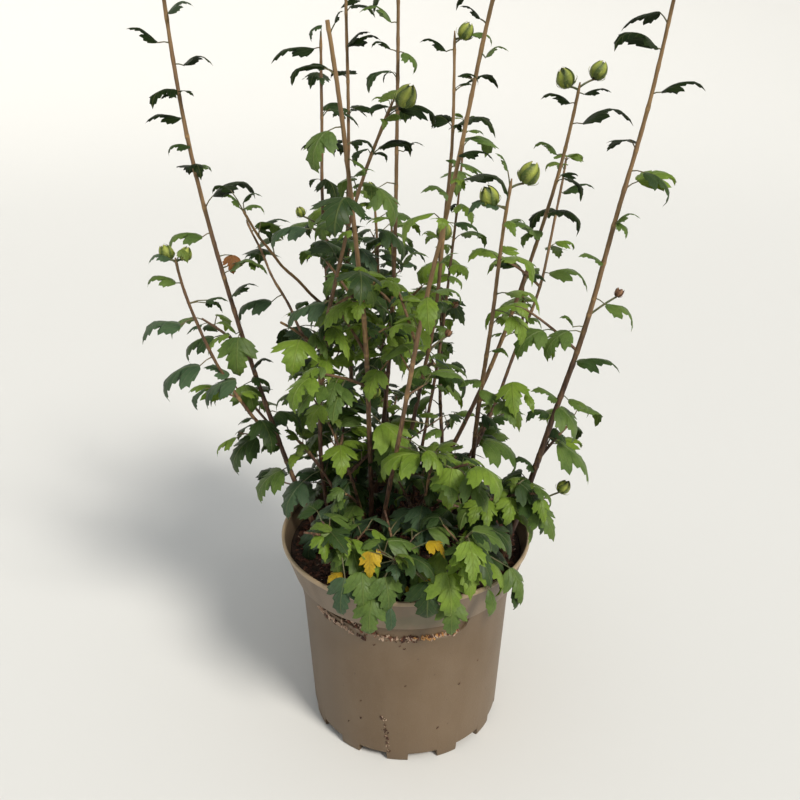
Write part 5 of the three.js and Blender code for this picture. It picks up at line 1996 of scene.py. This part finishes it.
def soil_mesh():
    points, faces = [(0, 0, soil_top(0, 0))], []
    for i in range(1, SOIL_RINGS + 1):
        for k in range(SOIL_SECTORS):
            x, y, _ = turned(SOIL_EDGE * i / SOIL_RINGS, 2 * math.pi * k / SOIL_SECTORS)
            points.append((x, y, soil_top(x, y)))
    for radius, height in SOIL_SIDE:
        points += [turned(radius, 2 * math.pi * k / SOIL_SECTORS, height) for k in range(SOIL_SECTORS)]
    points.append((0, 0, SOIL_BOTTOM))
    total = SOIL_RINGS + len(SOIL_SIDE)
    for k in range(SOIL_SECTORS):
        after = (k + 1) % SOIL_SECTORS
        faces.append((0, 1 + k, 1 + after))
        for i in range(total - 1):
            here, there = 1 + i * SOIL_SECTORS, 1 + (i + 1) * SOIL_SECTORS
            faces.append((here + k, there + k, there + after, here + after))
        last = 1 + (total - 1) * SOIL_SECTORS
        faces.append((last + k, len(points) - 1, last + after))
    mesh = new_mesh("compost_bed", points, faces)
    mesh.shade_smooth()
    return mesh


def earth_finish(name, dark, light, grain):
    material, nodes = new_finish(name)
    place = own_place(nodes)
    tone = nodes.noise(place, grain, 4.0)
    fibre = nodes.noise(nodes.scaled(place, (1.0, 0.3, 1.0)), 900.0, 3.0)
    colour = nodes.mix((tone * 0.6 + fibre * 0.4).rise(0.4, 0.62), dark, light)
    close_finish(nodes, plain_surface(nodes, colour, 0.9, tone + fibre * 0.7, 0.0012))
    return material


bed_finish = earth_finish("compost_earth", rgb(0.020, 0.011, 0.008), rgb(0.070, 0.034, 0.020), BED_GRAIN)
chip_finishes = {tone: earth_finish("chip_" + tone, rgb(*dark), rgb(*light), CHIP_GRAIN)
                 for tone, (dark, light) in CHIP_TONES.items()}
bed = link_piece("compost_bed", soil_mesh())
bed.data.materials.append(bed_finish)
hand_in(bed, "compost", "compost")

# %% [markdown]
# The chips are strewn in three tones, dark, red and pale, each with its own crowd and seed.

# %% Bark chips
CHIP_MODELS = 6
CHIP_SECTIONS = 4
# how many to a square metre, the smallest and the largest
CHIP_CROWDS = {"dark": (30000, 0.004, 0.012), "red": (22000, 0.003, 0.011), "pale": (2500, 0.002, 0.006)}


def chip_model(index):
    """A flat splinter with ragged ends, about one unit long."""
    draws = Draws(7000 + 29 * index)
    length = draws.between(0.8, 1.2)
    width = draws.between(0.25, 0.55)
    thick = draws.between(0.12, 0.26)
    points, faces = [], []
    for i in range(CHIP_SECTIONS):
        share = i / (CHIP_SECTIONS - 1)
        taper = 0.55 + 0.45 * math.sin(math.pi * share)
        x = (share - 0.5) * length
        for y, z in ((-1, -1), (1, -1), (1, 1), (-1, 1)):
            points.append((x + draws.between(-0.07, 0.07), y * width / 2 * taper * draws.between(0.7, 1.2),
                           z * thick / 2 * taper * draws.between(0.7, 1.2) + 0.08 * math.sin(3 * share)))
    for i in range(CHIP_SECTIONS - 1):
        a, b = 4 * i, 4 * (i + 1)
        faces += [(a + k, a + (k + 1) % 4, b + (k + 1) % 4, b + k)[::-1] for k in range(4)]
    faces.append((0, 1, 2, 3))
    last = 4 * (CHIP_SECTIONS - 1)
    faces.append((last + 3, last + 2, last + 1, last))
    return new_mesh("chip_model_%02d" % index, points, faces)


chip_models = model_collection("chip_models", [chip_model(i) for i in range(CHIP_MODELS)])
strewing, wires = new_geometry_tree("strew_chips", {
    "Chips": "Collection", "Density": "Float", "Seed": "Int", "Smallest": "Float", "Largest": "Float",
    "Finish": "Material"})
spots = strewing.node("GeometryNodeDistributePointsOnFaces", None,
                      {"Mesh": wires["Geometry"], "Density": wires["Density"], "Seed": wires["Seed"]})
chips = all_models(strewing, wires["Chips"])
turns = strewing.node("FunctionNodeRandomValue", {"data_type": "FLOAT_VECTOR"},
                      {0: (-0.5, -0.5, -3.14), 1: (0.5, 0.5, 3.14), "Seed": wires["Seed"]})
sizes = strewing.node("FunctionNodeRandomValue", {"data_type": "FLOAT"},
                      {2: wires["Smallest"], 3: wires["Largest"], "Seed": wires["Seed"]}, 1)
strewn = strewing.node("GeometryNodeInstanceOnPoints", None,
                       {"Points": spots, "Instance": chips, "Pick Instance": True, "Rotation": turns,
                        "Scale": sizes})
end_tree(strewing, strewn, wires["Finish"])


def chip_ground():
    """The part of the bed that chips may lie on, clear of the wall."""
    mesh = soil_mesh()
    ground = bmesh.new()
    ground.from_mesh(mesh)
    stray = []
    for face in ground.faces:
        middle = face.calc_center_median()
        if face.normal.z < 0.3 or middle.xy.length > SOIL_EDGE - 0.006 or middle.z < SOIL_HEIGHT - 0.012:
            stray.append(face)
    bmesh.ops.delete(ground, geom=stray, context="FACES")
    ground.to_mesh(mesh)
    ground.free()
    return mesh


for number, (tone, (density, small, large)) in enumerate(CHIP_CROWDS.items()):
    settings = {"Chips": chip_models, "Density": float(density), "Seed": 3 + number,
                "Smallest": small, "Largest": large, "Finish": chip_finishes[tone]}
    piece = run_tree("compost_chips_" + tone, chip_ground(), strewing, settings)
    hand_in(piece, "compost")

# %% [markdown]
# ## Crumbs on the pot
# Potting leaves crumbs on the pot. They lie along the lower edge of the front finger grip and in clumps on
# its slant. A thin trail of them runs down the wall to a foot, and a few single ones stick to it. Each is a
# chip placed by a short rule.

# %% Crumbs
GRIP_CRUMBS = 190
ORANGE_CRUMBS = 34
TRAIL_CRUMBS = 4
# degrees round the pot, height and how many
CLUMPS = [(-133, 0.1985, 16), (-127, 0.1965, 14), (-113, 0.1895, 18), (-90, 0.1945, 20), (-87, 0.1935, 12)]
PALE_CLUMPS = [(-137, 0.2055, 12), (-134, 0.2035, 12), (-130, 0.2005, 14), (-125, 0.1975, 12),
               (-120, 0.1945, 12)]
CLUMP_SPREAD = (2.4, 0.0035)
TRAIL = [(-103.6, 0.0703), (-101.8, 0.066), (-102.4, 0.058), (-101.5, 0.052), (-100.8, 0.044),
         (-101.2, 0.037), (-100.6, 0.030), (-100.4, 0.022), (-100.4, 0.0165)]
SPECKS = [(-116.0, 0.0874), (-116.4, 0.0598), (-91.1, 0.1791), (-90.6, 0.1227), (-47.6, 0.1325),
          (-106.8, 0.1802), (-93.5, 0.183), (-72.0, 0.05), (-60.0, 0.11), (-125.0, 0.045)]


def wall_place(degrees, height, out=0.0):
    """A place on the wall under the collar, or as deep in the grip as the grip is there."""
    angle = math.radians(degrees)
    rise = (height - WAIST_HEIGHT) / GRIP_WALL_HEIGHT
    outside = lerp(WAIST_RADIUS, COLLAR_RADIUS - LEDGE_DEPTH, rise)
    if height < WAIST_HEIGHT:
        outside = wall_radius(height)
    edge = grip_bottom(angle)
    if edge < height < GRIP_TOP:
        outside = lerp(outside, GRIP_FLOOR_RADIUS, min(1, (GRIP_TOP - edge) / GRIP_RAMP))
    return Vector(turned(outside + out, angle, height))


def crumb_rows():
    draws = Draws(5113)
    rows = {tone: [] for tone in ("dark", "pale", "red", "orange")}

    def drop(tone, degrees, height, size, out=0.0004):
        place = wall_place(degrees, height, out)
        outward = Vector((place.x, place.y, 0)).normalized()
        ahead = UP.cross(outward) * draws.between(-1, 1) + UP * draws.between(-1, 1)
        ahead += outward * draws.between(-0.4, 0.4)
        rows[tone].append((place, ahead.normalized(), outward, size, len(rows[tone]) % CHIP_MODELS))

    for _ in range(GRIP_CRUMBS):
        degrees = -90 + draws.between(-48, 27)
        height = grip_bottom(math.radians(degrees)) + draws.between(-0.0005, 0.0045)
        tone = ("pale", "pale", "dark", "red")[int(4 * draws.one())]
        drop(tone, degrees, height, draws.between(0.0018, 0.0062), draws.between(0.0003, 0.0014))
    for _ in range(ORANGE_CRUMBS):
        degrees = draws.between(-86, -64)
        height = grip_bottom(math.radians(degrees)) + draws.between(0, 0.006)
        drop("orange", degrees, height, draws.between(0.002, 0.006), 0.001)
    for tone, clumps, out in (("dark", CLUMPS, 0.0004), ("pale", PALE_CLUMPS, 0.0012)):
        for degrees, height, count in clumps:
            for _ in range(count):
                drop(tone, degrees + draws.between(-1, 1) * CLUMP_SPREAD[0],
                     height + draws.between(-1, 1) * CLUMP_SPREAD[1], draws.between(0.002, 0.006), out)
    for degrees, height in TRAIL:
        for _ in range(TRAIL_CRUMBS):
            tone = "pale" if draws.one() < 0.3 else "dark"
            drop(tone, degrees + draws.between(-1.1, 1.1), height + draws.between(-0.003, 0.003),
                 draws.between(0.0016, 0.0046), 0.0002)
    for degrees, height in SPECKS:
        drop("dark", degrees, height, draws.between(0.002, 0.0042), 0.0002)
        drop("dark", degrees + 0.6, height + 0.001, draws.between(0.001, 0.003), 0.0002)
    return rows


for tone, rows in crumb_rows().items():
    piece = place_models("crumbs_" + tone, rows, chip_models, chip_finishes[tone])
    hand_in(piece, "compost")

# %% [markdown]
# The dressed shrub has to fill the same box as the solids. The models that served as patterns are cleared
# away.

# %% Clear away
for collection in (leaf_models, bud_models, dry_models, chip_models):
    for model in list(collection.objects):
        bpy.data.objects.remove(model)
    bpy.data.collections.remove(collection)

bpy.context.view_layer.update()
